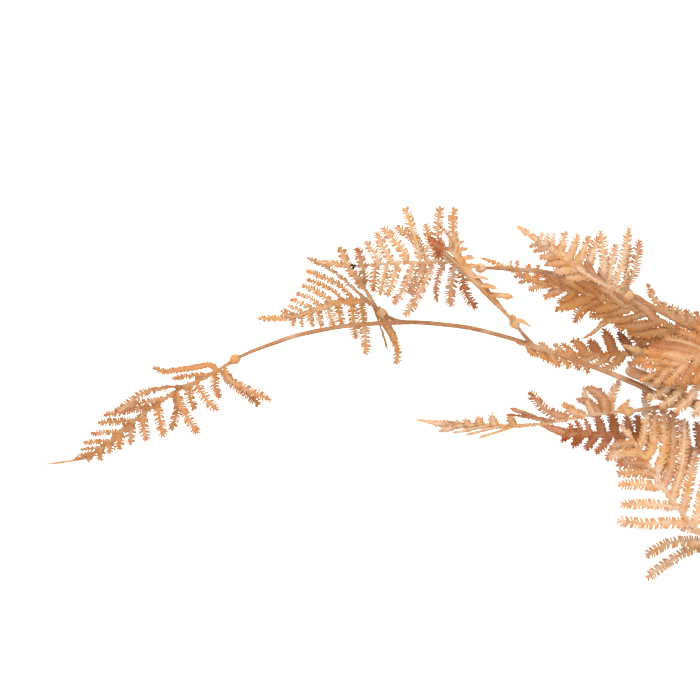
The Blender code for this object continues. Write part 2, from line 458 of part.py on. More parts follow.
STEMS = {
    "main_stem": dict(
        line=[
            (-57.6, 16.3, 45.6, 0.9), (-57, 16, 45.6, 2.0), (-55.7, 15.4, 45.6, 2.6), (-53.5, 14.4, 45.6, 2.85), (-47.5, 12, 45.5, 2.75),
            (-32, 3.5, 44, 2.7), (-10, -6.5, 42, 2.7), (25, -17, 37.5, 2.8), (80, -28, 29, 2.8), (180, -39, 15, 2.9), (280, -42, 5.5, 3), (349, -40, 3.08, 3),
        ],
        twigs=[
            [(22, -16, 38), (10, -2, 31)] + LEAVES["inner_leaf"]["peg"],
            [(32, -18.5, 37), (16, -3, 46)] + LEAVES["stem_leaf"]["peg"],
            [(40, -20.5, 35), (18, -26.5, 28)] + LEAVES["dark_leaf"]["peg"],
            [(74, -27, 30), (56, -6, 42)] + LEAVES["high_leaf"]["peg"],
            [(118, -32.8, 23), (100, -38, 27)] + LEAVES["low_leaf"]["peg"],
            [(128, -34, 22), (110, -23, 33)] + LEAVES["rear_leaf"]["peg"],
        ],
    ),
    "arc_stem": dict(
        line=[
            (-253, 21, 46, 0.85), (-247, 24, 47, 0.95), (-238, 27.5, 48.5, 1.1), (-220, 33.5, 51, 1.2), (-195, 38, 53, 1.2), (-169.6, 39.5, 54, 1.2),
            (-154.5, 39, 54, 1.2), (-135, 36.6, 53, 1.2), (-116, 31.8, 51.5, 1.2), (-103, 27.7, 50, 1.2), (-88.5, 22.5, 47.5, 1.25),
            (-74.5, 17.7, 45, 1.3), (-60, 12.0, 42.5, 1.4), (-49.4, 7.4, 41, 1.5), (-34, -0.8, 40.7, 1.5),
        ],
        twigs=[[(-166, 39.4, 54)] + LEAVES["arc_leaf"]["peg"], [(-104, 28, 50)] + LEAVES["twig_leaf"]["peg"]],
    ),
    "upper_stem": dict(
        line=[
            (-130.5, 66.5, 62, 0.85), (-124, 66.6, 62, 1), (-115, 66, 62, 1.2), (-100, 64.7, 62, 1.3), (-75, 59.5, 62, 1.3), (-56.5, 53.5, 62, 1.3),
            (-40, 44.5, 60, 1.3), (-20, 33.5, 56, 1.3), (0, 22, 51.5, 1.4), (20, 8, 47.5, 1.5), (36, -6, 44, 1.6), (46, -16.5, 39, 1.6),
        ],
        twigs=[
            [(-48, 49, 61), (-51, 51.5, 62.5)] + LEAVES["upper_side_leaf"]["peg"],
            [(16, 11, 48.4), (10, 16.5, 46)] + LEAVES["brown_leaf"]["peg"],
            [(21, 7.2, 47.4), (15, 17, 54)] + LEAVES["crossing_leaf"]["peg"],
            [(27, 2, 46.2), (18, 16, 47.5)] + LEAVES["back_leaf"]["peg"],
        ],
    ),
    "lower_stem": dict(
        line=[(-56, -5, 38, 0.85), (-49.5, -4.2, 38, 1), (-36.5, -2.4, 37, 1.3), (-16, -0.6, 36, 1.4), (0, -5.5, 36, 1.5), (12, -11.6, 35.6, 1.5)],
        twigs=[],
    ),
    "side_stem": dict(
        line=[(-6, -79, 35, 0.85), (0.5, -80.5, 36, 0.95), (12, -78, 37, 1.2), (32, -61, 36.5, 1.3), (50, -42, 34, 1.4), (62, -28.8, 32, 1.5)],
        twigs=[],
    ),
}


def smooth(points, count):
    """Points evenly spaced along a smooth curve through the given ones."""
    p = np.array(points, float)
    ends = np.vstack([2 * p[0] - p[1], p, 2 * p[-1] - p[-2]])
    t = np.linspace(0, 1, 16, endpoint=False)[:, None]
    runs = []
    for a, b, c, d in zip(ends, ends[1:], ends[2:], ends[3:]):
        cubic = (2 * a - 5 * b + 4 * c - d) * t**2 + (3 * b - a - 3 * c + d) * t**3
        runs.append(b + 0.5 * ((c - a) * t + cubic))
    dense = np.vstack(runs + [p[-1:]])
    along = np.r_[0, np.cumsum(np.linalg.norm(np.diff(dense[:, :3], axis=0), axis=1))]
    at = np.linspace(0, along[-1], count)
    return np.stack([np.interp(at, along, column) for column in dense.T], 1)


def unit(v):
    return v / np.linalg.norm(v, axis=-1, keepdims=True)


def frames(line, t, roll):
    """Position, tangent, leftward and upward directions of a blade at each share t of its rib."""
    k = np.asarray(t) * (len(line) - 1)
    tangents = unit(np.gradient(line, axis=0))
    place = np.stack([np.interp(k, np.arange(len(line)), c) for c in line.T], -1)
    tangent = unit(np.stack([np.interp(k, np.arange(len(line)), c) for c in tangents.T], -1))
    side = unit(np.cross([0, 0, 1.0], tangent))
    up = np.cross(tangent, side)
    left = np.cos(np.radians(roll)) * side + np.sin(np.radians(roll)) * up
    return place, tangent, left, np.cross(tangent, left)


def section(place, left, up, width, thickness):
    """The four corners of a rib's section, anticlockwise seen from its tip."""
    w = 0.5 * width * left
    n = 0.5 * thickness * up
    return [place + w + n, place - w + n, place - w - n, place + w - n]


def grow(bm, face, corners):
    """Extrude a face and move its corners to the given ones, turned to the nearest match."""
    if isinstance(corners, list):
        old = np.array([v.co for v in face.verts])
        turns = [np.linalg.norm(np.roll(corners, k, axis=0) - old, axis=1).sum() for k in range(4)]
        corners = np.roll(corners, int(np.argmin(turns)), axis=0)
    new = bmesh.ops.extrude_discrete_faces(bm, faces=[face])["faces"][0]
    for vert, place in zip(new.verts, corners):
        vert.co = place
    return new


def side_face(bm, front, back, direction):
    """Of the four faces between two sections, the one that looks most along a direction."""
    found = []
    for a, b in zip(back, back[1:] + back[:1]):
        shared = [f for f in a.link_faces if b in f.verts and any(v in front for v in f.verts)]
        found += [f for f in shared if len([v for v in f.verts if v in front]) == 2]
    for f in found:
        f.normal_update()
    return max(found, key=lambda f: f.normal.dot(Vector(direction)))


def add_pinna(bm, face, path, width):
    """A leaflet from a side face: a root, one or two broad stations and a tip, flat in the plane of the face."""
    path = np.array(path)
    root = np.array([v.co for v in face.verts])
    edges = root - np.roll(root, 1, axis=0)
    long_edge = edges[int(np.argmax(np.linalg.norm(edges, axis=1)))]
    length = np.linalg.norm(np.diff(path, axis=0), axis=1).sum()
    stations = [(1.0, PINNA_TIP)]
    if length > LONG_PINNA:
        stations = [(0.3, width), (0.68, 0.9 * width)] + stations
    elif length > SHORT_PINNA:
        stations = [(0.45, width)] + stations
    for share, wide in stations:
        place, before = (
            np.array([np.interp(at, np.linspace(0, 1, len(path)), c) for c in path.T]) for at in (share, share - 0.15)
        )
        along = unit(place - before)
        across = unit(long_edge - along * (long_edge @ along))
        thick = RIB_THICKNESS * (1 - (1 - TIP_SCALE) * share)
        face = grow(bm, face, section(place, across, np.cross(along, across), wide, thick))


def side_of(row, line, path):
    """The share of the rib that an offshoot starts from, and the side that it leaves by."""
    start = int(np.argmin(np.linalg.norm(line[:, :2] - np.array(path[0])[:2], axis=1)))
    t = start / (len(line) - 1)
    _, _, left, _ = frames(line, [t], row["roll"])
    return t, 1 if (np.array(path[1])[:2] - line[start, :2]) @ left[0, :2] > 0 else -1


def raised(line, row):
    """A leaflet's points: it starts on the rib and climbs by its rise."""
    flat = np.array(row["path"], float)
    root = line[np.argmin(np.linalg.norm(line[:, :2] - flat[0], axis=1))]
    points = np.c_[flat, root[2] + row["rise"] * np.linspace(0, 1, len(flat)) ** 1.15]
    points[0] = root
    return points


def fan_rows(rows, line, roll):
    """The same for evenly spaced pairs: share of the rib, side, points and width of each leaflet."""
    u = np.linspace(0, 1, rows["pairs"])
    at = rows["start"] + (rows["end"] - rows["start"]) * u
    length = np.linalg.norm(np.diff(line, axis=0), axis=1).sum()
    pitch = length * (rows["end"] - rows["start"]) / (rows["pairs"] - 1)
    place, tangent, left, up = frames(line, at, roll)
    found = []
    for side, name in ((1, "left"), (-1, "right")):
        reach = np.interp(u, np.linspace(0, 1, len(rows[name])), rows[name])
        leans = rows["lean_" + name]
        lean = np.radians(np.interp(u, np.linspace(0, 1, len(leans)), leans))
        out = np.cos(np.radians(8)) * side * left + np.sin(np.radians(8)) * up
        along = np.cos(lean)[:, None] * tangent + np.sin(lean)[:, None] * out
        width = np.minimum(4.8, np.minimum(0.9 * pitch * np.sin(lean), 0.55 * reach))
        for k in range(rows["pairs"]):
            if reach[k] > LEAST_PINNA:
                found.append((at[k], side, np.array([place[k], place[k] + reach[k] * along[k]]), width[k]))
    return found


def add_blade(bm, face, row, offshoots):
    """A rib with its leaflets, and the leaf's other blades growing from its stalk."""
    line = smooth(row["spine"], 121)
    length = np.linalg.norm(np.diff(line, axis=0), axis=1).sum()
    if isinstance(row["pinnae"], dict):
        jobs = [item + (None,) for item in fan_rows(row["pinnae"], line, row["roll"])]
    else:
        jobs = []
        for item in row["pinnae"]:
            turned = max(0.45, np.cos(np.radians(item["turn"])))
            jobs.append(side_of(row, line, item["path"]) + (raised(line, item), item["width"] * turned, None))
    jobs += [side_of(row, line, other["spine"]) + (None, None, other) for other in offshoots]
    cuts = []
    for t, side, path, width, extra in sorted(jobs, key=lambda job: job[0]):
        if cuts and side not in cuts[-1][1] and (t - cuts[-1][0]) * length < PINNA_ROOT:
            cuts[-1][1][side] = (path, width, extra)
        else:
            cuts.append([t, {side: (path, width, extra)}])
    gap = 1.3 * PINNA_ROOT / length
    for k, cut in enumerate(cuts):
        least = cuts[k - 1][0] + gap if k else (BALL_RADIUS + 0.7 * PINNA_ROOT) / length
        cut[0] = max(cut[0], least)
    for k, cut in enumerate(reversed(cuts)):
        cut[0] = min(cut[0], 0.97 - k * gap)
    if face is None:
        place, tangent, left, up = (v[0] for v in frames(line, [0.3 * BALL_RADIUS / length], row["roll"]))
        verts = [bm.verts.new(c) for c in section(place, left, up, RIB_WIDTH, RIB_THICKNESS)]
        face = bm.faces.new(verts)
        bm.faces.new([bm.verts.new(v.co) for v in reversed(verts)])
    walls = []
    for t, sides in cuts:
        ends = []
        for at in (t - 0.5 * PINNA_ROOT / length, t + 0.5 * PINNA_ROOT / length):
            place, tangent, left, up = (v[0] for v in frames(line, [at], row["roll"]))
            scale = 1 - (1 - TIP_SCALE) * at
            face = grow(bm, face, section(place, left, up, RIB_WIDTH * scale, RIB_THICKNESS * scale))
            ends.append(list(face.verts))
        walls.append((ends, left, sides))
    place, tangent, left, up = (v[0] for v in frames(line, [1.0], row["roll"]))
    grow(bm, face, section(place, left, up, 0.6, 0.5))
    for ends, left, sides in walls:
        for side, (path, width, extra) in sorted(sides.items(), reverse=True, key=lambda item: item[0]):
            wall = side_face(bm, ends[1], ends[0], side * left)
            if extra:
                add_blade(bm, wall, extra, [])
            else:
                add_pinna(bm, wall, path, LAMINA_SHARE * width)


def material(name, colour):
    made = bpy.data.materials.new(name)
    made.use_nodes = True
    shader = made.node_tree.nodes["Principled BSDF"]
    shader.inputs["Base Color"].default_value = (*colour, 1)
    shader.inputs["Roughness"].default_value = 0.6
    return made


def mesh_object(name, bm):
    bmesh.ops.remove_doubles(bm, verts=bm.verts, dist=1e-4)
    bmesh.ops.recalc_face_normals(bm, faces=bm.faces)
    bmesh.ops.scale(bm, vec=(0.001, 0.001, 0.001), verts=bm.verts)
    mesh = bpy.data.meshes.new(name)
    bm.to_mesh(mesh)
    bm.free()
    made = bpy.data.objects.new(name, mesh)
    collection.objects.link(made)
    return made


def combine(target, others, operation):
    """Apply a Boolean with each of the other objects in turn, and remove them."""
    for other in others:
        modifier = target.modifiers.new("combine", "BOOLEAN")
        modifier.operation = operation
        modifier.solver = "EXACT"
        modifier.use_self = operation == "UNION"
        modifier.object = other
        graph = bpy.context.evaluated_depsgraph_get()
        mesh = bpy.data.meshes.new_from_object(target.evaluated_get(graph))
        target.modifiers.clear()
        target.data = mesh
        bpy.data.objects.remove(other, do_unlink=True)


def ball(name, centre, radius):
    bm = bmesh.new()
    bmesh.ops.create_uvsphere(bm, u_segments=10, v_segments=7, radius=radius)
    bmesh.ops.translate(bm, vec=centre, verts=bm.verts)
    return mesh_object(name, bm)


def rod(name, start, end, radius):
    start, end = Vector(start), Vector(end)
    turn = (end - start).to_track_quat("Z", "Y").to_matrix().to_4x4()
    middle = Matrix.Translation((start + end) / 2)
    bm = bmesh.new()
    bmesh.ops.create_cone(
        bm, cap_ends=True, segments=8, radius1=radius, radius2=radius, depth=(end - start).length, matrix=middle @ turn
    )
    return mesh_object(name, bm)


def tube(name, points, sections):
    """A round tube through the points, each with its own radius, made by a bevelled curve and turned into a mesh."""
    line = smooth(points, sections)
    curve = bpy.data.curves.new(name, "CURVE")
    curve.dimensions = "3D"
    curve.bevel_depth = 0.001
    curve.bevel_resolution = (TUBE_SIDES - 4) // 2
    curve.use_fill_caps = True
    spline = curve.splines.new("POLY")
    spline.points.add(len(line) - 1)
    for point, (x, y, z, r) in zip(spline.points, line):
        point.co = (x * 0.001, y * 0.001, z * 0.001, 1)
        point.radius = r
    holder = bpy.data.objects.new(name, curve)
    collection.objects.link(holder)
    mesh = bpy.data.meshes.new_from_object(holder.evaluated_get(bpy.context.evaluated_depsgraph_get()))
    bpy.data.objects.remove(holder, do_unlink=True)
    bm = bmesh.new()
    bm.from_mesh(mesh)
    bmesh.ops.scale(bm, vec=(1000, 1000, 1000), verts=bm.verts)
    return mesh_object(name, bm)


def shortened(points):
    """The same line, stopped just short of the middle of the ball that it enters."""
    last, before = np.array(points[0]), np.array(points[1])
    gap = PEG_GAP * unit(before[:3] - last[:3])
    return [tuple(np.r_[last[:3] + gap, last[3]])] + [tuple(p) for p in points[1:]]


def build_leaf(name, leaf):
    bm = bmesh.new()
    add_blade(bm, None, leaf["blades"][0], leaf["blades"][1:])
    made = mesh_object(name, bm)
    before, centre = np.array(leaf["peg"], float)
    away = unit(before - centre)
    combine(made, [ball("ball", centre, BALL_RADIUS)], "UNION")
    for *points, radius in leaf.get("spurs", []):
        thinning = np.linspace(radius, 0.3, len(points))
        combine(made, [tube("spur", [tuple(p) + (r,) for p, r in zip(points, thinning)], 6)], "UNION")
    combine(made, [rod("socket", centre, centre + 2 * BALL_RADIUS * away, SOCKET_RADIUS)], "DIFFERENCE")
    made.data.materials.clear()
    made.data.materials.append(material(name, leaf["colour"]))


def build_stem(name, stem):
    points = stem["line"]
    length = np.linalg.norm(np.diff(np.array(points)[:, :3], axis=0), axis=1).sum()
    if name != "main_stem":
        points = shortened(points)
    made = tube(name, points, max(8, int(length / 11)))
    for twig in stem["twigs"]:
        radii = np.linspace(1.15, PEG_RADIUS, len(twig))
        path = [tuple(p) + (r,) for p, r in zip(twig, radii)]
        combine(made, [tube("twig", shortened(path[::-1]), 3 + 2 * len(twig))], "UNION")
    made.data.materials.clear()
    made.data.materials.append(material(name, STEM))
    made.data.shade_smooth()
    made.data.set_sharp_from_angle(angle=np.radians(50))


for old in list(bpy.data.objects):
    bpy.data.objects.remove(old, do_unlink=True)
collection = bpy.data.collections.new("dried_fern_frond")
bpy.context.scene.collection.children.link(collection)
for stem_name, stem_row in STEMS.items():
    build_stem(stem_name, stem_row)
for leaf_name, leaf_row in LEAVES.items():
    build_leaf(leaf_name, leaf_row)
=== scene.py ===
"""A cut spray of dried-look fern lying on a pale table, seen from straight above."""

import bpy
import numpy as np
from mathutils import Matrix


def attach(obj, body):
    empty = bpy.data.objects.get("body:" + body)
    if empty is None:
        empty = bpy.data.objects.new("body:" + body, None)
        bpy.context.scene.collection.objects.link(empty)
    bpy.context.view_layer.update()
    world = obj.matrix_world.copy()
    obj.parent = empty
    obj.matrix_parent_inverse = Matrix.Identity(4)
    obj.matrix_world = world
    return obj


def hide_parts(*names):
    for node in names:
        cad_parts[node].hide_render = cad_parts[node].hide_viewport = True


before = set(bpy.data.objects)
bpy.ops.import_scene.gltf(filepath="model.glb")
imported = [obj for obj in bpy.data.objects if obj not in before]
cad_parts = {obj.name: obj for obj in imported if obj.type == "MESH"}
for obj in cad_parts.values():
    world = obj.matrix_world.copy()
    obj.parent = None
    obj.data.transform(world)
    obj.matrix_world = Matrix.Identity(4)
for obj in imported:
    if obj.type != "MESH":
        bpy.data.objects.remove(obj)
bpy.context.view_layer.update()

# ---------------------------------------------------------------------------------------------
# Measures, in millimetres
# ---------------------------------------------------------------------------------------------
FINE_PITCH, COARSE_PITCH = 1.1, 1.34  # distance from tooth to tooth
TOOTH_SHARE = 0.85  # a tooth's width as a share of the pitch
TOOTH_THICKNESS = 0.56
MIDRIB_HALF = 0.4
WEB_HALF = 0.16  # half the thickness of a lamina
EDGE_TONE_HALF = 2.3  # half width at which a lamina's edge has its full tone
LEAFLET_LIMIT = 4.8  # widest leaflet of a fan
RING_STEP = 1.2  # distance from ring to ring along a stem
TABLE_GAP = 0.00012  # least height above the table, in metres

# Shares
SLIT_DEPTH = 0.68  # how far the slits between teeth reach in
POINTED_FROM = 0.82  # an unbroken share above this gives a leaflet a pointed head

# Counts
STATIONS, RIB_STATIONS, RIB_SAMPLES, STEM_SIDES = 15, 61, 241, 16
LEAF_SEED, STEM_SEED = 100, 200


def pinna(path, rise=1.5, width=4.6, turn=0, solid=0.0, dark=0.0, twist=None):
    """One leaflet: its way over the table from the rib, its climb, width and turn, its unbroken and
    russet shares, and its turn at the tip."""
    twist = 0.75 * turn if twist is None else twist
    return dict(path=path, rise=rise, width=width, turn=turn, solid=solid, dark=dark, twist=twist)


def fan(left, right, lean_left, lean_right, pairs, start, end):
    """Evenly spaced pairs of leaflets: their lengths and leans from base to tip."""
    return dict(
        left=left, right=right, lean_left=lean_left, lean_right=lean_right, pairs=pairs, start=start, end=end
    )


def blade(
    spine, rows, roll=0, comb=(0.88, 0.985, 1.7), body=(0.8, 0.8, 0.7, 0.6, 0.3), teeth=1.0, tipped=0.0
):
    """A rib with its leaflets: comb is the toothed stretch at its tip and body its half widths, base to tip."""
    pinnae = rows if isinstance(rows, dict) else [pinna(*row) for row in rows]
    return dict(spine=spine, pinnae=pinnae, roll=roll, comb=comb, body=body, teeth=teeth, tipped=tipped)


def leaf(tone, peg, *blades, spurs=()):
    """A leaf: its colour's name, the two ends of its peg, its blades and the spurs at its ball."""
    return dict(peg=peg, tone=tone, blades=list(blades), spurs=list(spurs))


# Leaflets of each blade. Each row is one leaflet's points along it, as pinna() reads them.
TIP_LEAF_ROWS = [
    ([(-262.5, 15.6), (-264.5, 18.4), (-271, 17.4), (-277.4, 16.3), (-283.3, 15.5), (-289.2, 15),
        (-293.4, 17.3)], 5, 2.8, 20, 0.78),
    ([(-266, 13.5), (-275, 13), (-284, 11.6)], 2, 3.2, 30),
    ([(-279, 7.2), (-285, 7.4), (-291, 6.4), (-296, 5.2), (-301, 3), (-307, -2), (-311, -5)], 6, 5, 70, 0.25, 0,
        -5),
    ([(-287.5, 1.5), (-300, -0.8), (-313, -4.2)], 3, 3.2, 40, 0.1),
    ([(-294, -3), (-306, -4.6), (-318.5, -6.8)], 1.5, 3.6, 30),
    ([(-303.5, -9.5), (-312, -10.2), (-321.3, -10.6)], 1, 3.6, 20),
    ([(-310, -15), (-325, -16.2)], 1, 3, 35),
    ([(-315.5, -19.5), (-328.8, -20.8)], 1, 2.8, 35),
    ([(-320, -23.2), (-330.3, -24.2)], 1, 2.4, 35),
    ([(-324, -25.8), (-331.6, -26.9)], 1, 2.2, 35),
    ([(-328, -27.8), (-333.8, -28.6)], 0.5, 1.8, 30),
    ([(-258.5, 17.5), (-255.5, 11), (-248, 6.6), (-235, 0.8)], -5, 4.4, 15),
    ([(-260.5, 16.2), (-254.5, 9), (-247, 3.8), (-240.8, -1.8)], -10, 4.4, 5),
    ([(-262.5, 15), (-263, 10), (-263, 6.5), (-260.8, 2)], -7, 4.6, 10),
    ([(-272.5, 10), (-270, 5), (-266, -0.4), (-261.7, -4.2)], -2, 4.8, 0),
    ([(-275.5, 8.6), (-275.8, 3.5), (-274.8, -0.5), (-273.2, -3.8)], -7, 4.6, 10),
    ([(-282.5, 5.2), (-280, -2), (-275.8, -9.5), (-271.8, -15.8)], -2, 4.8, -10),
    ([(-285, 3.6), (-281.8, -1), (-282.6, -7), (-285, -14)], -9, 4.2, 15),
    ([(-292, -1.5), (-290.8, -9), (-289, -17.2)], -4, 5, 0, 0.08),
    ([(-299.3, -6.4), (-299, -12.5), (-297.5, -19.2)], -4, 5, 10, 0.24),
    ([(-305.5, -11), (-305.5, -21.3)], -4, 5, 0, 0.3),
    ([(-311, -15.8), (-311.3, -23.4)], -3, 5, 5, 0.36),
    ([(-316, -20), (-316.2, -25.8)], -3, 4.6, 0, 0.4),
    ([(-321, -24), (-321, -29.4)], -2, 4.6, 0, 0.45),
    ([(-326, -26.8), (-327, -30.3)], -2, 3.6, 0, 0.5),
]
ARC_LEAF_ROWS = [
    ([(-186, 49.4), (-192, 55), (-199.5, 61.8), (-207, 67), (-216.6, 71.8)], 9, 3.4, 60, 0.2),
    ([(-193, 50.5), (-200, 57.8), (-206.5, 61.3), (-217, 65.4)], 5, 3.2, 45),
    ([(-198.5, 50), (-204, 55.6), (-210, 58.6), (-216.8, 60.9)], 3, 3.2, 30),
    ([(-204, 49), (-211, 54.6), (-219, 57.9)], 3, 3.4, 20),
    ([(-209, 47.4), (-215.5, 51.8), (-222, 54)], 2, 3.2, 30),
    ([(-213, 45.8), (-219, 48.8), (-224.7, 51)], 2, 2.8, 35),
    ([(-217.5, 44.5), (-226, 47.8)], 1, 2.4, 35),
    ([(-221.5, 43.3), (-228.8, 46.3)], 1, 2.2, 35),
    ([(-225, 42.4), (-230, 45.1)], 1, 2, 35),
    ([(-184.5, 48.6), (-181.8, 42), (-179, 34), (-176.6, 26.2)], -20, 2.6, 60, 1.0),
    ([(-182, 46.6), (-177.6, 39), (-173.6, 32), (-171.6, 25), (-172.2, 18.6)], -24, 4.6, 20, 0.6),
    ([(-189.5, 50.4), (-189.3, 44), (-188, 36), (-187.3, 23.6)], -12, 4.2, 0),
    ([(-194.7, 50.3), (-194, 44), (-193, 37), (-192.4, 31.6)], -12, 4.8, 15),
    ([(-201.5, 49.4), (-200.8, 44), (-199.3, 38)], -8, 4.2, 15),
    ([(-206.5, 48.2), (-205.5, 43), (-203.3, 37.9)], -6, 4.2, 20),
    ([(-211.5, 46.2), (-210.8, 42), (-209.5, 37.8)], -4, 3.8, 20, 0.1),
    ([(-216, 44.9), (-215.2, 41), (-214, 37.8)], -4, 3.6, 20, 0.15),
    ([(-219.8, 43.5), (-219.3, 37.4)], -3, 3, 20, 0.2),
    ([(-224, 42.6), (-223.8, 38.1)], -2, 3, 20, 0.3),
]
ARC_LEAF_SIDE_ROWS = [
    ([(-188.5, 57), (-188.3, 63), (-189.6, 69), (-191.8, 76.4)], 20, 5, -10, 0.05, 0.2),
]
UPPER_TIP_LEAF_ROWS = [
    ([(-141, 68.8), (-143.6, 80), (-144.3, 90), (-143.4, 96.3)], 4, 4.6, 15, 0.35),
    ([(-147, 69.3), (-151.3, 79), (-151.8, 88), (-150.4, 96.6)], 3, 4.6, 0),
    ([(-152, 69.3), (-155.5, 79), (-157.8, 88)], 2, 4.2, 10),
    ([(-156.5, 69.2), (-160.5, 77.5), (-166, 82.6), (-172.6, 86.6)], 1, 4.4, 15),
    ([(-160.5, 69.1), (-161.8, 76.5), (-164, 84), (-168.2, 96)], 4, 4.6, 0),
    ([(-166.5, 69), (-170, 76), (-174.3, 81), (-179, 86)], 3, 4.8, 0, 0.05),
    ([(-174.5, 68.8), (-178, 75), (-180.2, 79), (-182.2, 83.7)], 3, 4.8, 10, 0.08),
    ([(-180.5, 68.5), (-183.8, 74.5), (-187.5, 79.3)], 3, 4.4, 10, 0.1),
    ([(-182.5, 68.3), (-183.2, 62), (-184, 55.4)], -2, 4.6, 0, 0, 0.4),
    ([(-177, 68.6), (-178.5, 62), (-180.5, 53.4)], -2, 4.4, 20),
    ([(-171.5, 68.9), (-173.7, 61.5), (-176.8, 52.8)], -3, 4.8, 10),
    ([(-163.8, 69.1), (-166, 62), (-169.5, 55), (-173.8, 48.8)], -4, 4.8, 0, 0, 0.3),
    ([(-158.5, 69), (-162, 61), (-165.3, 53.6)], -4, 4.6, 20, 0.2, 0.3),
    ([(-154, 69.2), (-158.8, 58.5), (-163, 50.5), (-168, 42.6)], -6, 4.8, 0, 0, 0.2),
    ([(-148.5, 69), (-151.5, 62.5), (-152.6, 56), (-152.2, 50)], -4, 4.2, 30, 0, 0.5),
    ([(-143.5, 68.8), (-144.6, 60), (-145.8, 53), (-145, 47.8)], -6, 5, 5, 0, 0.3),
    ([(-139.5, 68.5), (-139, 59), (-137, 52.5), (-132.7, 46.8)], -8, 4.8, 0, 0, 0.7),
]
TWIG_LEAF_ROWS = [
    ([(-126.5, 53.3), (-122, 53), (-118, 52.4), (-114.4, 52)], 1, 3.2, 15, 1.0),
    ([(-131, 58), (-127, 57.6), (-122.5, 56.2)], 1, 2.6, 15, 1.0),
    ([(-134.5, 62), (-131, 62), (-126.7, 60.6)], 0, 1.8, 25, 1.0),
    ([(-138, 66.3), (-135, 67.4), (-131, 66.6)], -3, 2.6, 0, 1.0),
    ([(-140.5, 69.5), (-137.5, 71.6), (-133.8, 71.3)], -4, 2.8, 0, 1.0),
    ([(-142.5, 72), (-141, 75.4), (-137.6, 75.8)], -4, 2.2, 20, 0.8),
    ([(-144, 73.5), (-143, 77.5), (-139.2, 79.6)], -4, 2.2, 20, 0.8),
    ([(-145.5, 74.8), (-145.2, 79.5), (-142.2, 82.6)], -3, 2.2, 20, 0.7),
    ([(-145.5, 75.2), (-146, 81), (-148.2, 84.5), (-151, 87)], -2, 2.6, 50, 0.4),
    ([(-148.8, 76.2), (-149.4, 79), (-151.5, 81)], -2, 2.4, 50, 0.6),
    ([(-127.5, 54.3), (-135.5, 61), (-142, 68), (-149, 73.5)], 2, 3, 50, 1.0),
    ([(-132, 59.2), (-138.5, 65), (-145, 71), (-151, 76)], 3, 3, 50, 1.0),
    ([(-151.5, 77), (-152.5, 74.5), (-150.8, 71.8)], -2, 4.4, 10, 0.1, 1.0),
]
UPPER_SIDE_LEAF_ROWS = [
    ([(-60.5, 54.8), (-54.5, 64), (-52.8, 72), (-51.8, 79.8)], 2, 4.6, 5, 0.15, 0.4),
    ([(-62.5, 55.7), (-58.6, 60), (-58, 68), (-56.6, 77.4)], 0, 3.6, 45, 0, 0.3),
    ([(-64.5, 56.6), (-60.8, 67), (-58.6, 77), (-57, 86)], 3, 4.2, 0, 0.1),
    ([(-68, 58.3), (-66, 68), (-63.4, 78)], 2, 4.2, 10, 0.3),
    ([(-71.5, 60.2), (-69.8, 66), (-69.8, 74), (-71.2, 84.6)], 3, 4.4, 0, 0.3),
    ([(-78.5, 64.5), (-75.5, 73), (-73, 81)], 2, 4.4, 10, 0.55),
    ([(-83, 68), (-79.5, 75), (-77, 82)], 2, 4.2, 10, 0.5),
    ([(-87, 70.8), (-84.5, 76.5), (-82.2, 82.4)], 2, 4.2, 10, 0.6),
    ([(-91.3, 73.8), (-89.8, 79), (-88.4, 84.2)], 1, 4, 10, 0.5),
    ([(-95.5, 76.6), (-94.3, 83.2)], 1, 3, 10, 0.5),
    ([(-98.5, 78.3), (-97.3, 83.4)], 1, 2.2, 10, 0.6),
    ([(-101, 79.8), (-100.2, 84.2)], 1, 2, 10, 0.7),
    ([(-100, 79.2), (-106.2, 77)], -1, 2.6, 10, 0.6, 0.5),
    ([(-95.5, 76.5), (-104.2, 74.8)], -1, 2.8, 10, 0.8, 0.5),
    ([(-90.5, 73.2), (-101, 71.6)], -2, 4, 10, 0.8, 0.3),
    ([(-86, 70), (-98.4, 68.4)], -2.4, 4.2, 0, 0.8, 0.3),
    ([(-81, 66.5), (-94, 64.8)], -2.8, 4.6, 0, 0.8),
    ([(-75.5, 62.5), (-88, 62)], -3.2, 4.6, 0, 0.8),
    ([(-69, 58.8), (-74, 62.6), (-79.3, 70)], 5, 3.6, 35, 1.0, 0.6),
    ([(-66.5, 57.5), (-69, 60.5), (-72.6, 65.5)], 4, 2.4, 40, 1.0, 0.2),
]
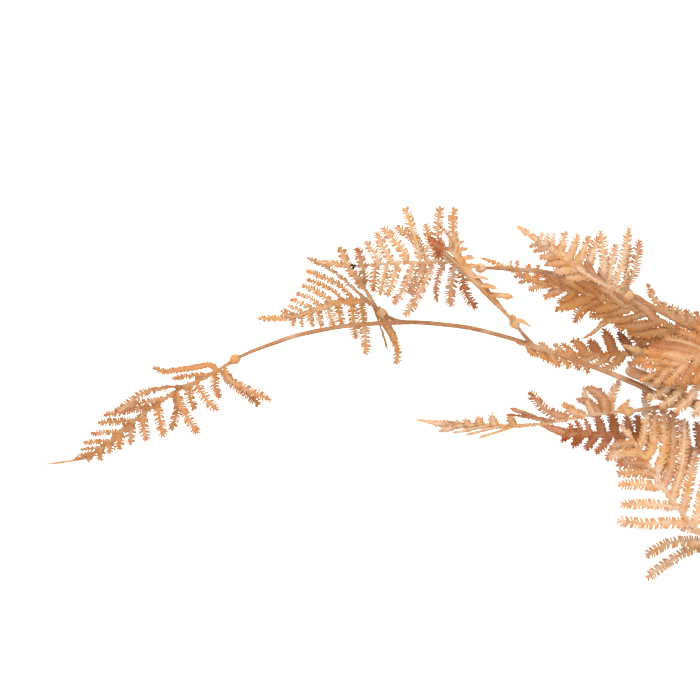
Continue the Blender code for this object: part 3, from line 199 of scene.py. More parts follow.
BROWN_LEAF_ROWS = [
    ([(-112, 64.6), (-111.5, 70.4)], 1, 2.4, 30, 0.2, 0.2),
    ([(-115, 66), (-115, 70.4)], 1, 2, 30, 0.2, 0.2),
    ([(-107, 62.6), (-106, 68.7)], 1, 2.6, 20, 0.3),
    ([(-102.5, 60.8), (-101.2, 68.2)], 1, 3, 20, 0.3),
    ([(-92, 57.5), (-96, 61), (-101, 65)], 1, 4.4, 0, 0.5, 0.3),
    ([(-85, 55.9), (-90, 59.5), (-97, 63)], 1, 4.6, 0, 0.7, 0.5),
    ([(-77, 54.2), (-82, 57.8), (-90, 61.2)], 1.6, 4.6, 0, 0.7, 0.3),
    ([(-69, 52.3), (-74, 56.5), (-82, 60.5)], 1, 4.6, 0, 0.7, 0.5),
    ([(-60.5, 49.6), (-65, 54), (-73, 59.5)], 1, 4.6, 0, 0.7, 0.2),
    ([(-52, 46), (-56, 51), (-63, 57)], 1, 4.8, 0, 0.7, 0.4),
    ([(-43, 41.8), (-47, 46.5), (-54, 52)], 1, 4.8, 0, 0.7),
    ([(-107.5, 62.8), (-113.3, 62.7)], -1, 2.2, 20, 0.4, 0.3),
    ([(-101, 60.3), (-105, 61), (-110.7, 59.4)], -1, 3, 10, 0.4, 0.4),
    ([(-95.5, 58.6), (-100, 58.3), (-105.8, 56)], -1, 4, 0, 0.5),
    ([(-89, 56.8), (-93, 54.8), (-97.8, 52)], -2, 4.6, 0, 0.75),
    ([(-82, 55.3), (-86, 51.5), (-91, 50)], -2, 5, 0, 0.78),
    ([(-75, 53.8), (-82, 49.3), (-92.4, 46)], -3, 5, 0, 0.8),
    ([(-68, 52), (-75.5, 48.8), (-80.5, 44.5), (-82.8, 39.9)], -4, 5, 10, 0.5, 0.3),
    ([(-61, 49.8), (-68, 46.8), (-77, 46.5)], -2, 4.8, 0, 0.8),
    ([(-54, 47), (-64, 44), (-75, 42.6)], -3, 4.2, 0, 0.8),
    ([(-47, 43.8), (-57, 41.3), (-67.3, 40), (-73, 35), (-78.5, 31.6)], -2, 3.6, 40, 0.9),
    ([(-40, 40.3), (-51, 37.8), (-62.8, 38)], -2, 4.8, 0, 0.8, 0.2),
    ([(-33, 36.6), (-44, 34.5), (-56, 34.5)], -3, 5.2, 0, 0.8),
    ([(-26, 32.6), (-38, 31.5), (-52.5, 30.7)], -4, 5.2, 0, 0.7, 0.3),
    ([(-18, 28.3), (-30, 27.5), (-45, 27)], -5, 5, 0, 0.6),
]
INNER_LEAF_ROWS = [
    ([(-36, 24), (-42, 30), (-49, 35)], 4, 5, 0, 0.5),
    ([(-44, 24.3), (-49, 28), (-54, 33)], 3, 5, 10, 0.5, 0.5),
    ([(-53, 24.2), (-57, 29.5), (-60.3, 34.5)], 2, 5, 0, 0.8, 0.7),
    ([(-62.5, 23.7), (-65, 30), (-67.6, 35.8)], 2, 5, 0, 0.8, 0.4),
    ([(-70.5, 23.4), (-72.3, 27), (-75, 30.3)], 1, 5, 10, 0.8, 0.6),
    ([(-77, 23.5), (-80, 28), (-83.6, 30.6)], 1, 4.8, 10, 0.75, 0.2),
    ([(-83.5, 23.7), (-86, 26.8), (-88.8, 29)], 1, 3.6, 20, 0.5),
    ([(-89, 24.3), (-91, 27.5), (-92.8, 28.6)], 1, 2.8, 20, 0.5),
    ([(-96, 25.6), (-98, 28), (-100.5, 29.3)], 1, 2.8, 20, 0.5),
    ([(-48, 24.3), (-50, 21), (-55, 18.3)], -1, 5, 0, 0.6),
    ([(-58, 24), (-62, 19.3), (-66.8, 16.4)], -1, 4.8, 10, 0.5),
    ([(-65, 23.6), (-69, 20), (-73, 17.8)], -1, 4.4, 10, 0.5),
    ([(-71.5, 23.4), (-75.5, 21), (-79, 20)], -1, 3, 10, 0.5),
    ([(-77.5, 23.5), (-78, 19), (-75.5, 14.8)], -1, 4, 10, 0.5),
    ([(-82.5, 23.7), (-82.3, 19.5), (-80.5, 16.2)], -1, 4, 10, 0.5),
    ([(-88, 24.2), (-87.3, 20.5), (-85, 17.3)], -1, 4.2, 10, 0.5),
    ([(-93.5, 25), (-93, 21), (-90, 18)], -1, 4.6, 10, 0.6),
    ([(-99, 26.3), (-98.3, 23), (-95, 20.4)], -1, 4.4, 10, 0.6),
    ([(-105, 28), (-104, 25), (-100.5, 22.8)], -1, 4, 10, 0.6),
]
CROSSING_LEAF_ROWS = [
    ([(-7, 27.3), (-14, 33), (-24, 38)], 1, 5, 0, 0.5),
    ([(-12, 26), (-20, 31), (-32, 35)], 1, 5, 0, 0.5, 0.3),
    ([(-17, 24.8), (-27, 29), (-39, 31.5)], 0, 5, 0, 0.5),
    ([(-22, 23.4), (-32, 26.5), (-45, 28)], 0, 5, 0, 0.5, 0.4),
    ([(-27, 21.5), (-37, 23.5), (-49, 24.8)], 0, 5, 0, 0.5),
    ([(-32, 19.5), (-42, 20.8), (-52.5, 20.5)], 0, 4.6, 0, 0.5),
    ([(-37.5, 17), (-44, 17.5), (-50, 17.3)], 0, 3.6, 0, 0.4),
    ([(-8, 27.1), (-10, 20), (-17, 12)], -2, 5, 0, 0.4),
    ([(-14.5, 25.4), (-17, 18), (-24, 10)], -2, 5, 0, 0.4),
    ([(-21, 23.7), (-24, 17), (-31, 9)], -2, 5, 0, 0.4, 0.2),
    ([(-28, 21.1), (-31, 16), (-37.5, 9)], -2, 4.8, 0, 0.4),
    ([(-35, 18.2), (-38.5, 14.5), (-43.5, 9)], -2, 4.2, 0, 0.4),
]
STEM_LEAF_ROWS = [
    ([(-10, 12.9), (-17, 18), (-27, 22)], 2, 4.6, 0, 0.2),
    ([(-18, 11.7), (-27, 18), (-38, 21), (-50, 24.8), (-59.5, 28.2)], 8, 3.2, 20, 1.0),
    ([(-16, 12.1), (-24, 16), (-34, 18.5)], 1.5, 4.6, 0, 0.2),
    ([(-23, 9.9), (-31, 13), (-41, 15)], 1, 4.4, 0, 0.2),
    ([(-31, 8.2), (-38, 11), (-46, 13)], 1, 3.6, 10, 0.2),
    ([(-13, 12.6), (-16, 4), (-24, -7)], -0.5, 4.8, 0, 0.2),
    ([(-20, 11), (-24, 4), (-32.5, -5)], -0.5, 4.8, 0, 0.2),
    ([(-28, 8.7), (-32.5, 3), (-40.5, -2.5)], -0.5, 4.6, 0, 0.2),
    ([(-36, 7.6), (-40.5, 4), (-47, 1.8)], -0.5, 4, 0, 0.2),
]
LOWER_TIP_LEAF_ROWS = [
    ([(-145.5, -11.7), (-147, -9.8)], 1, 3, 10, 0.8),
    ([(-141, -12), (-142.8, -9.8)], 1, 3, 10, 0.8),
    ([(-136, -12.3), (-138, -9)], 1, 3.8, 10, 0.8),
    ([(-129.5, -12.3), (-131.6, -8)], 1, 4.4, 10, 0.8),
    ([(-122.5, -12.4), (-124.8, -7)], 1, 4.4, 10, 0.8),
    ([(-113.5, -12.4), (-115.8, -6.8)], 1, 4.2, 10, 0.8),
    ([(-98, -11), (-104, -7.3), (-115.5, -3.3)], 4, 2.4, 40, 1.0, 0.2),
    ([(-93, -10), (-103, -8.3), (-116, -6.4)], 3, 3.8, 40, 0.8, 0.6),
    ([(-86, -8.6), (-94, -6), (-100, -2), (-105.3, 4.5)], 5, 5, 20, 0.3, 0.5),
    ([(-78, -7.2), (-83.5, -5), (-88.5, -1.2)], 4, 4.6, 10, 0.7),
    ([(-73.5, -6.5), (-77, 0), (-78.5, 6.8)], 5, 3.4, 30, 0.85),
    ([(-70.5, -6), (-75, -1), (-82, 1.2)], 4, 4.4, 20, 0.85, 0.4),
    ([(-68, -5.8), (-68.5, 0.5), (-71.5, 4), (-77, 7)], 7, 5.6, 25, 0.85, 0.4),
    ([(-64.5, -5.4), (-64.8, 0), (-63.2, 5), (-60.5, 9.8)], -2, 4.4, 20, 0.1),
    ([(-61, -5.1), (-57.5, -2), (-55.8, 0.5)], 2, 3, 0, 0.6),
    ([(-140, -12.1), (-145, -13.6), (-150.5, -15)], -1, 2.6, 30, 0.8),
    ([(-128, -12.3), (-135, -14.2), (-144.5, -15.9)], -1, 1.7, 20, 1.0),
    ([(-120, -12.4), (-128, -14.5), (-138, -17)], -1, 1.5, 20, 1.0),
    ([(-112.5, -12.3), (-120, -14.8), (-131, -18.2)], -1, 1.5, 20, 1.0),
]
DARK_LEAF_ROWS = [
    ([(-83, -16.2), (-85, -11.3)], 1, 3, 10, 0.6, 0.6),
    ([(-79, -16.5), (-81.5, -9.9)], 1, 3, 10, 0.5, 0.5),
    ([(-74.5, -16.7), (-77, -9.2)], 1, 3, 20, 0.5, 0.2),
    ([(-68.5, -16.8), (-70.3, -10), (-73, -5.6)], 2, 4.6, 10, 0.6, 0.4),
    ([(-62, -17), (-63, -10), (-65, -4.5)], 2, 4.8, 0, 0.6, 0.4),
    ([(-55, -17), (-56, -8)], 2, 5, 0, 0.6, 0.2),
    ([(-49, -17.4), (-51, -7.5)], 2, 5, 0, 0.6, 0.6),
    ([(-41, -18.4), (-42, -8)], 2, 5, 0, 0.5),
    ([(-34, -20.5), (-35, -9)], 2, 5, 0, 0.5),
    ([(-26, -23), (-28, -10)], 2, 5, 0, 0.5, 0.4),
    ([(-18, -25.5), (-21, -11)], 2, 5, 0, 0.5, 0.4),
    ([(-84.5, -16.2), (-88.8, -20)], -1, 3.4, 0, 0.8, 1.0),
    ([(-78.5, -16.5), (-83.2, -22.6)], -1, 4.4, 0, 0.8, 0.9),
    ([(-71.5, -16.8), (-76.6, -24.2)], -1, 4.2, 0, 0.7, 0.5),
    ([(-64.5, -17), (-67.5, -21.5), (-71.4, -25.8)], -1, 4, 10, 0.6, 0.3),
    ([(-58, -17.2), (-61, -22), (-65.8, -29)], -1, 4.6, 0, 0.6),
    ([(-51, -17.2), (-54, -23), (-60, -31)], -1, 5, 0, 0.6, 0.2),
    ([(-43, -18), (-45, -25), (-52, -34)], -1, 5, 0, 0.5),
    ([(-34, -20.5), (-36, -28), (-42, -38)], -1, 5, 0, 0.5),
    ([(-25, -23.5), (-27, -31), (-32, -42)], -1, 5, 0, 0.5),
]
LOWER_LEAF_ROWS = [
    ([(-12, -73.6), (-20, -73), (-32, -79), (-45.5, -89.3)], -34.4, 5.2, 0, 0.15),
    ([(-15, -70.9), (-25, -70), (-36, -71.7), (-46.2, -78)], -22, 5, 0, 0.1),
    ([(-20.5, -65.5), (-25, -64), (-29.3, -64)], -1, 3.4, 0, 0.5),
    ([(-24.8, -60.8), (-36, -60.8), (-48, -61.2), (-61, -59.8)], -1, 5.2, 0, 0.1),
    ([(-31.5, -53), (-46, -51.3), (-59.4, -51.8)], -1, 5, 0, 0.1),
    ([(-38.5, -43.3), (-50, -41.5), (-60.5, -41.7)], -1, 4.8, 0, 0.1),
    ([(-42.5, -37.3), (-52, -35.6), (-61, -36)], -1, 4.6, 15, 0.3, 0.2),
    ([(-46, -31.7), (-54, -31), (-61.2, -31.6)], -1, 4.8, 10, 0.4, 0.6),
    ([(-49.3, -26.3), (-58, -26), (-66, -28.3)], -1, 4.6, 0, 0.4),
    ([(-52.5, -20.9), (-59, -21.5), (-64.5, -23)], -1, 4.2, 0, 0.4, 0.3),
    ([(-50.5, -24.3), (-47.4, -14), (-46.8, -4), (-47.4, 4.6)], -5, 4.4, 0, 0),
    ([(-47, -30), (-43, -19), (-43, -4)], -6.5, 4.6, 0, 0.1),
    ([(-42.8, -36.8), (-38.5, -27), (-37.8, -16), (-38, -3)], -7, 4.6, 10, 0.2),
    ([(-38.8, -42.8), (-34.3, -32), (-33.5, -18), (-33, -5)], -7.5, 4.8, 0, 0.3, 0.3),
    ([(-34.3, -49.5), (-30.5, -38), (-28.3, -25), (-28, -10)], -3, 4.8, 5, 0.2),
    ([(-29, -56), (-26.5, -46), (-24.5, -36), (-22, -26)], -2, 5, 0, 0.2, 0.2),
    ([(-23, -62.8), (-20.5, -52), (-18, -42), (-14, -32)], -2, 5, 0, 0.1),
    ([(-16.5, -69.4), (-12.5, -60), (-8, -50)], -1, 5, 0, 0.1),
]
BACK_LEAF_ROWS = [
    ([(-36.5, 45.4), (-38.8, 49.6)], 1, 3, 10, 0.3),
    ([(-32.5, 43), (-35, 47.9)], 1, 3.2, 10, 0.4),
    ([(-28.5, 40.9), (-31.8, 46.6)], 1, 3.8, 10, 0.5),
    ([(-23.5, 38.6), (-27.6, 45.6)], 1, 4.4, 10, 0.5),
    ([(-18, 36.4), (-22.5, 44.5)], 1, 4.6, 10, 0.5),
    ([(-12, 34.3), (-17, 43.5)], 1, 4.6, 10, 0.5),
    ([(-6.5, 31.9), (-10, 42)], 1, 4.6, 10, 0.5),
    ([(-30, 41.7), (-36, 42.5)], -1, 3.6, 0, 0.5),
    ([(-22, 38), (-32, 38)], -1, 4.4, 0, 0.5, 0.3),
    ([(-14, 35), (-25, 33.5)], -1, 4.6, 0, 0.5),
    ([(-7, 32.2), (-18, 30)], -1, 4.6, 0, 0.5),
]

# Each leaf: its tone, its peg, its blades and its spurs. Distances are in millimetres.
LEAVES = {
    "tip_leaf": leaf(
        "tan", [(-247, 24, 47), (-253, 21, 46)],
        blade(
            [(-253, 21, 46), (-259, 17.2, 46), (-268, 12, 45.5), (-280, 6.6, 43), (-290, 0, 41), (-300, -7, 38),
                (-311, -15.8, 34), (-321, -24, 29), (-328, -27.8, 25.5), (-337, -30.2, 21),
                (-351.5, -32.1, 16)],
            TIP_LEAF_ROWS, comb=(0.80, 0.86, 0.9), body=(0.9, 0.8, 0.8, 0.85, 0.9, 0.9, 0.9, 0.7, 0.3),
        ),
    ),
    "arc_leaf": leaf(
        "tan", [(-172.5, 40.6, 53), (-179.5, 44, 50)],
        blade(
            [(-179.5, 44, 50), (-183.5, 48, 50.5), (-188, 50.3, 50.5), (-196, 50.2, 50), (-204, 48.9, 48.5),
                (-212, 46, 46.5), (-221, 43.3, 44), (-229, 41.7, 41), (-242, 41.6, 37)],
            ARC_LEAF_ROWS, comb=(0.72, 0.985, 1.9), body=(0.8, 0.9, 1.5, 1.5, 1.3, 0.9, 0.8, 0.5, 0.2),
        ),
        blade(
            [(-183, 47.5, 50.5), (-186.5, 53.8, 59), (-190.8, 59.5, 68), (-196.2, 67, 76.5), (-200.6, 77, 81)],
            ARC_LEAF_SIDE_ROWS, comb=(0.36, 0.985, 2.6), body=(0.8, 0.8, 0.9, 0.8, 0.5), tipped=0.15,
        ),
    ),
    "upper_tip_leaf": leaf(
        "light", [(-124, 66.6, 62), (-130.5, 66.5, 62)],
        blade(
            [(-130.5, 66.5, 62), (-137, 68.3, 66), (-146, 69.3, 71), (-158, 69.2, 76), (-170, 69, 77),
                (-180, 68.5, 75), (-190, 67.8, 69), (-200, 68.3, 64), (-211, 69.8, 61)],
            UPPER_TIP_LEAF_ROWS, comb=(0.84, 0.99, 1.9), body=(0.7, 0.65, 0.6, 0.6, 0.6, 0.55, 0.5, 0.35, 0.2),
        ),
    ),
    "twig_leaf": leaf(
        "tan", [(-108.5, 33, 55), (-113.5, 39, 60)],
        blade(
            [(-113.5, 39, 60), (-117, 43, 66), (-124.5, 51, 73), (-131, 58, 79), (-137, 65, 84),
                (-142, 71.5, 87), (-146.5, 75.5, 89), (-150.5, 76.5, 90), (-154, 78.5, 90), (-156.5, 82, 88)],
            TWIG_LEAF_ROWS, roll=0, comb=(0.84, 0.99, 2.3),
            body=(0.9, 1.1, 1.4, 1.9, 2.1, 2.0, 1.7, 1.2, 0.7, 0.4), teeth=0, tipped=1.0,
        ),
        spurs=[[(-113, 40, 61), (-109.8, 40.2, 62), (-105.2, 37.2, 62), 1.4], [(-113.8, 40.5, 61),
            (-114.5, 42.3, 62), (-115, 43.8, 62), 1.7]],
    ),
    "upper_side_leaf": leaf(
        "light", [(-53.2, 52.7, 65), (-57, 53.5, 70)],
        blade(
            [(-57, 53.5, 70), (-62, 55.5, 74), (-68.5, 58.5, 77), (-75.5, 62.5, 79), (-82, 67.3, 79),
                (-88.7, 72, 78), (-95, 76.3, 77), (-103, 80.8, 75), (-112.5, 87.2, 73)],
            UPPER_SIDE_LEAF_ROWS, roll=0, comb=(0.84, 0.985, 1.8),
            body=(0.9, 1.2, 1.5, 1.8, 2.0, 2.0, 1.6, 1.1, 0.9),
        ),
    ),
    "brown_leaf": leaf(
        "brown", [(3, 18.5, 43), (-4, 20, 40)],
        blade(
            [(-4, 20, 40), (-10, 24, 40), (-25, 32, 41), (-42.5, 41.5, 42), (-60, 49.5, 42), (-75, 53.8, 42),
                (-90, 57, 42), (-103, 61, 42), (-116, 66.5, 41), (-130.5, 72.3, 38)],
            BROWN_LEAF_ROWS, comb=(0.86, 0.99, 1.5), body=(0.9, 1.1, 1.3, 1.4, 1.5, 1.2, 1.0, 0.8, 0.5, 0.3),
        ),
    ),
    "inner_leaf": leaf(
        "brown", [(0, 12, 28), (-6, 18, 26)],
        blade(
            [(-6, 18, 26), (-13, 21, 26), (-30, 23.5, 27), (-50, 24.3, 27), (-70, 23.4, 26), (-86, 23.8, 24),
                (-99, 26.3, 21), (-112, 29.5, 18)],
            INNER_LEAF_ROWS, comb=(0.9, 0.99, 1.5), body=(0.9, 0.9, 1, 1.1, 1.1, 1, 0.8, 0.4),
        ),
    ),
    "crossing_leaf": leaf(
        "brown", [(8, 23.5, 57), (2, 27, 58)],
        blade(
            [(2, 27, 58), (-4, 27.8, 59.5), (-20, 24, 61), (-32, 19.5, 60), (-42.5, 14.5, 57), (-51, 10.5, 53)],
            CROSSING_LEAF_ROWS, comb=(0.86, 0.99, 1.9), body=(0.9, 1.0, 1.0, 0.9, 0.7, 0.4),
        ),
    ),
    "stem_leaf": leaf(
        "light", [(5, 7, 50), (0, 11, 51)],
        blade(
            [(0, 11, 51), (-6, 13, 52), (-14, 12.5, 52.5), (-26, 9, 52), (-37.5, 7.5, 50.5), (-49, 9.5, 49)],
            STEM_LEAF_ROWS, comb=(0.84, 0.99, 1.9),
        ),
    ),
    "lower_tip_leaf": leaf(
        "light", [(-49.5, -4.2, 38), (-56, -5, 38)],
        blade(
            [(-56, -5, 38), (-62, -5.2, 38), (-70, -6, 39), (-82.5, -8, 40), (-97.5, -11, 40),
                (-112.5, -12.3, 38), (-130, -12.3, 34), (-147.5, -11.6, 29), (-162, -9.2, 24)],
            LOWER_TIP_LEAF_ROWS, comb=(0.9, 0.985, 1.0), body=(0.9, 0.75, 0.6, 0.6, 0.8, 1.2, 1.4, 1.8, 0.7),
            teeth=0.6,
        ),
    ),
    "dark_leaf": leaf(
        "dark", [(3, -27.4, 23), (-4, -28, 21)],
        blade(
            [(-4, -28, 21), (-11, -27, 20.5), (-20, -25, 20.5), (-28, -22.5, 21), (-42.5, -18, 22),
                (-60, -17, 22), (-74.5, -16.7, 21), (-86, -16, 19), (-93, -14, 17.5), (-100, -11.6, 16)],
            DARK_LEAF_ROWS, comb=(0.87, 0.985, 1.8), body=(0.9, 0.9, 1, 1, 1.1, 1.3, 1.3, 1.9, 2.3, 0.8),
        ),
    ),
    "lower_leaf": leaf(
        "light", [(0.5, -80.5, 36), (-6, -79, 35)],
        blade(
            [(-6, -79, 35), (-11, -74.5, 36.5), (-20, -66, 39), (-32, -52.5, 41), (-45.5, -32.5, 40),
                (-53, -20, 36), (-60, -11.5, 30)],
            LOWER_LEAF_ROWS, comb=(0.9, 0.99, 1.8), body=(0.9, 1.0, 1.1, 1.1, 1.0, 0.8, 0.4), teeth=0.8,
        ),
    ),
    "back_leaf": leaf(
        "tan", [(10, 21.5, 46.5), (4, 25, 46)],
        blade(
            [(4, 25, 46), (-1, 29, 46), (-10, 33.5, 46), (-22, 38, 46), (-33.5, 43.5, 46), (-41.5, 49, 47),
                (-44.5, 53.5, 48), (-47, 59.3, 48)],
            BACK_LEAF_ROWS, comb=(0.78, 0.985, 2.0), body=(0.9, 0.9, 1, 1, 0.9, 0.9, 0.8, 0.3),
        ),
    ),
    "high_leaf": leaf(
        "tan", [(44, 14, 46.5), (40, 20, 48)],
        blade(
            [(40, 20, 48), (37, 25, 50), (30, 37, 55), (20, 52, 59), (10, 66, 58), (0, 79, 53), (-7, 90, 47)],
            fan((15, 17, 16, 12, 7, 3), (15, 17, 16, 12, 7, 3), (58, 55, 50), (62, 58, 50), 12, 0.16, 0.95),
        ),
    ),
    "low_leaf": leaf(
        "brown", [(86, -46, 27), (81, -51, 26)],
        blade(
            [(81, -51, 26), (76, -55, 25.5), (66, -63, 24), (50, -73, 18), (35, -81, 11), (21, -89, 5),
                (10, -96, 1.1)],
            fan((13, 15, 14, 11, 7, 3), (13, 15, 14, 11, 7, 3), (60, 55, 50), (60, 55, 50), 12, 0.16, 0.94),
        ),
    ),
    "rear_leaf": leaf(
        "light", [(100, -13, 36), (95, -8, 37)],
        blade(
            [(95, -8, 37), (90, -2.5, 37.5), (82, 10, 36), (70, 32, 30), (60, 53, 20), (52, 74, 9),
                (47, 92, 1.1)],
            fan((17, 19, 18, 14, 9, 4), (17, 19, 18, 14, 9, 4), (60, 56, 50), (60, 56, 50), 14, 0.15, 0.95),
        ),
    ),
}

# Each stem: its middle line with a radius at each point, and the twigs that leave it for a peg.
STEMS = {
    "main_stem": dict(
        line=[
            (-57.6, 16.3, 45.6, 0.9), (-57, 16, 45.6, 2.0), (-55.7, 15.4, 45.6, 2.6), (-53.5, 14.4, 45.6, 2.85),
            (-47.5, 12, 45.5, 2.75),
            (-32, 3.5, 44, 2.7), (-10, -6.5, 42, 2.7), (25, -17, 37.5, 2.8), (80, -28, 29, 2.8),
            (180, -39, 15, 2.9), (280, -42, 5.5, 3), (349, -40, 3.08, 3),
        ],
        twigs=[
            [(22, -16, 38), (10, -2, 31)] + LEAVES["inner_leaf"]["peg"],
            [(32, -18.5, 37), (16, -3, 46)] + LEAVES["stem_leaf"]["peg"],
            [(40, -20.5, 35), (18, -26.5, 28)] + LEAVES["dark_leaf"]["peg"],
            [(74, -27, 30), (56, -6, 42)] + LEAVES["high_leaf"]["peg"],
            [(118, -32.8, 23), (100, -38, 27)] + LEAVES["low_leaf"]["peg"],
            [(128, -34, 22), (110, -23, 33)] + LEAVES["rear_leaf"]["peg"],
        ],
    ),
    "arc_stem": dict(
        line=[
            (-253, 21, 46, 0.85), (-247, 24, 47, 0.95), (-238, 27.5, 48.5, 1.1), (-220, 33.5, 51, 1.2),
            (-195, 38, 53, 1.2), (-169.6, 39.5, 54, 1.2),
            (-154.5, 39, 54, 1.2), (-135, 36.6, 53, 1.2), (-116, 31.8, 51.5, 1.2), (-103, 27.7, 50, 1.2),
            (-88.5, 22.5, 47.5, 1.25),
            (-74.5, 17.7, 45, 1.3), (-60, 12.0, 42.5, 1.4), (-49.4, 7.4, 41, 1.5), (-34, -0.8, 40.7, 1.5),
            (-25, -1, 43, 1.5),
        ],
        twigs=[[(-166, 39.4, 54)] + LEAVES["arc_leaf"]["peg"], [(-104, 28, 50)] + LEAVES["twig_leaf"]["peg"]],
    ),
    "upper_stem": dict(
        line=[
            (-130.5, 66.5, 62, 0.85), (-124, 66.6, 62, 1), (-115, 66, 62, 1.2), (-100, 64.7, 62, 1.3),
            (-75, 59.5, 62, 1.3), (-56.5, 53.5, 62, 1.3),
            (-40, 44.5, 60, 1.3), (-20, 33.5, 56, 1.3), (0, 22, 51.5, 1.4), (20, 8, 47.5, 1.5),
            (36, -6, 44, 1.6), (46, -16.5, 39, 1.6), (51, -21.5, 34.5, 1.6),
        ],
        twigs=[
            [(-48, 49, 61), (-51, 51.5, 62.5)] + LEAVES["upper_side_leaf"]["peg"],
            [(16, 11, 48.4), (10, 16.5, 46)] + LEAVES["brown_leaf"]["peg"],
            [(21, 7.2, 47.4), (15, 17, 54)] + LEAVES["crossing_leaf"]["peg"],
            [(27, 2, 46.2), (18, 16, 47.5)] + LEAVES["back_leaf"]["peg"],
        ],
    ),
    "lower_stem": dict(
        line=[(-56, -5, 38, 0.85), (-49.5, -4.2, 38, 1), (-36.5, -2.4, 37, 1.3), (-16, -0.6, 36, 1.4),
        (0, -5.5, 36, 1.5), (12, -11.6, 35.6, 1.5)],
        twigs=[],
    ),
    "side_stem": dict(
        line=[(-6, -79, 35, 0.85), (0.5, -80.5, 36, 0.95), (12, -78, 37, 1.2), (32, -61, 36.5, 1.3),
        (50, -42, 34, 1.4), (62, -28.8, 32, 1.5)],
        twigs=[],
    ),
}


# ---------------------------------------------------------------------------------------------
# Curves and frames
# ---------------------------------------------------------------------------------------------
def unit(v):
    return v / np.maximum(np.linalg.norm(v, axis=-1, keepdims=True), 1e-9)


def smooth(points, count):
    """Catmull-Rom, evenly resampled: each point's slope is half the difference of its neighbours."""
    p = np.array(points, float)
    ends = np.vstack([2 * p[0] - p[1], p, 2 * p[-1] - p[-2]])
    t = np.linspace(0, 1, 16, endpoint=False)[None, :, None]
    a, b, c, d = (ends[k : len(ends) - 3 + k, None] for k in range(4))
    runs = b + 0.5 * ((c - a) * t + (2 * a - 5 * b + 4 * c - d) * t**2 + (3 * b - a - 3 * c + d) * t**3)
    dense = np.vstack([runs.reshape(-1, p.shape[1]), p[-1:]])
    along = np.r_[0, np.cumsum(np.linalg.norm(np.diff(dense[:, :3], axis=0), axis=1))]
    at = np.linspace(0, along[-1], count)
    return np.stack([np.interp(at, along, column) for column in dense.T], 1)


def sample(rows, k):
    """Rows read at fractional indices, each value a blend of its two neighbours."""
    k = np.clip(k, 0, len(rows) - 1.000001)
    low = k.astype(int)
    share = (k - low)[..., None]
    return rows[low] * (1 - share) + rows[low + 1] * share


def frames(line, t, roll):
    """Place, tangent, left and up of a blade at each share t. Left is level before roll turns it."""
    k = np.asarray(t, float) * (len(line) - 1)
    tangent = unit(sample(unit(np.gradient(line, axis=0)), k))
    side = unit(np.cross([0, 0, 1.0], tangent))
    up = np.cross(tangent, side)
    turn = np.radians(roll)
    left = np.cos(turn) * side + np.sin(turn) * up
    return sample(line, k), tangent, left, np.cross(tangent, left)


def profile(values, u):
    """A list of values spread evenly over 0 to 1, read at u."""
    return np.interp(u, np.linspace(0, 1, len(values)), values)


def ease(low, high, u):
    """0 up to low, 1 from high, with a soft S between."""
    s = np.clip((u - low) / (high - low), 0, 1)
    return s * s * (3 - 2 * s)


# ---------------------------------------------------------------------------------------------
# Surfaces: each is a block of points (tubes, stations, corners) joined into closed skins
# ---------------------------------------------------------------------------------------------
class Skin:
    """Closed tubes, collected. A point's tone holds its nearness to an edge, place along, chance and russet."""

    def __init__(self, rust=0.0, pitch=FINE_PITCH):
        self.points, self.quads, self.caps, self.tones, self.maps, self.count = [], [], [], [], [], 0
        self.rust, self.pitch = rust, pitch

    def add(self, grid, edge=0.0, along=0.0, dice=0.5, dark=0.0, maps=None):
        """Grid is (tubes, stations, corners, 3). Quads join each ring to the next and a cap closes each end."""
        n, m, k, _ = grid.shape
        index = self.count + np.arange(n * m * k).reshape(n, m, k)
        a, b = index[:, :-1], index[:, 1:]
        turned_a, turned_b = np.roll(a, -1, axis=2), np.roll(b, -1, axis=2)
        self.quads.append(np.stack([a, turned_a, turned_b, b], -1).reshape(-1, 4))
        self.caps.append(np.concatenate([index[:, 0, ::-1], index[:, -1]]))
        self.points.append(grid.reshape(-1, 3))
        shares = (edge, along, dice, self.rust + dark)
        tones = [np.broadcast_to(np.asarray(share, float), (n, m, k)) for share in shares]
        self.tones.append(np.stack(tones, -1).reshape(-1, 4))
        self.maps.append(np.broadcast_to(np.zeros(2) if maps is None else maps, (n, m, k, 2)).reshape(-1, 2))
        self.count += n * m * k

    def make(self, name, smooth_angle=24):
        """The mesh object, in metres, kept above the table."""
        points = np.concatenate(self.points) * 0.001
        points[:, 2] = np.maximum(points[:, 2], TABLE_GAP)
        loops = np.concatenate([faces.ravel() for faces in self.quads + self.caps])
        sizes = np.concatenate([np.full(len(faces), faces.shape[1]) for faces in self.quads + self.caps])
        mesh = bpy.data.meshes.new(name)
        mesh.vertices.add(len(points))
        mesh.vertices.foreach_set("co", points.astype(np.float32).ravel())
        mesh.loops.add(len(loops))
        mesh.loops.foreach_set("vertex_index", loops.astype(np.int32))
        mesh.polygons.add(len(sizes))
        mesh.polygons.foreach_set("loop_start", np.r_[0, np.cumsum(sizes)[:-1]].astype(np.int32))
        mesh.update(calc_edges=True)
        tone = mesh.attributes.new("tone", "FLOAT_COLOR", "POINT")
        tone.data.foreach_set("color", np.concatenate(self.tones).astype(np.float32).ravel())
        layer = mesh.uv_layers.new(name="along")
        layer.data.foreach_set("uv", np.concatenate(self.maps)[loops].astype(np.float32).ravel())
        mesh.shade_smooth()
        mesh.set_sharp_from_angle(angle=np.radians(smooth_angle))
        made = bpy.data.objects.new(name, mesh)
        bpy.context.scene.collection.objects.link(made)
        return made


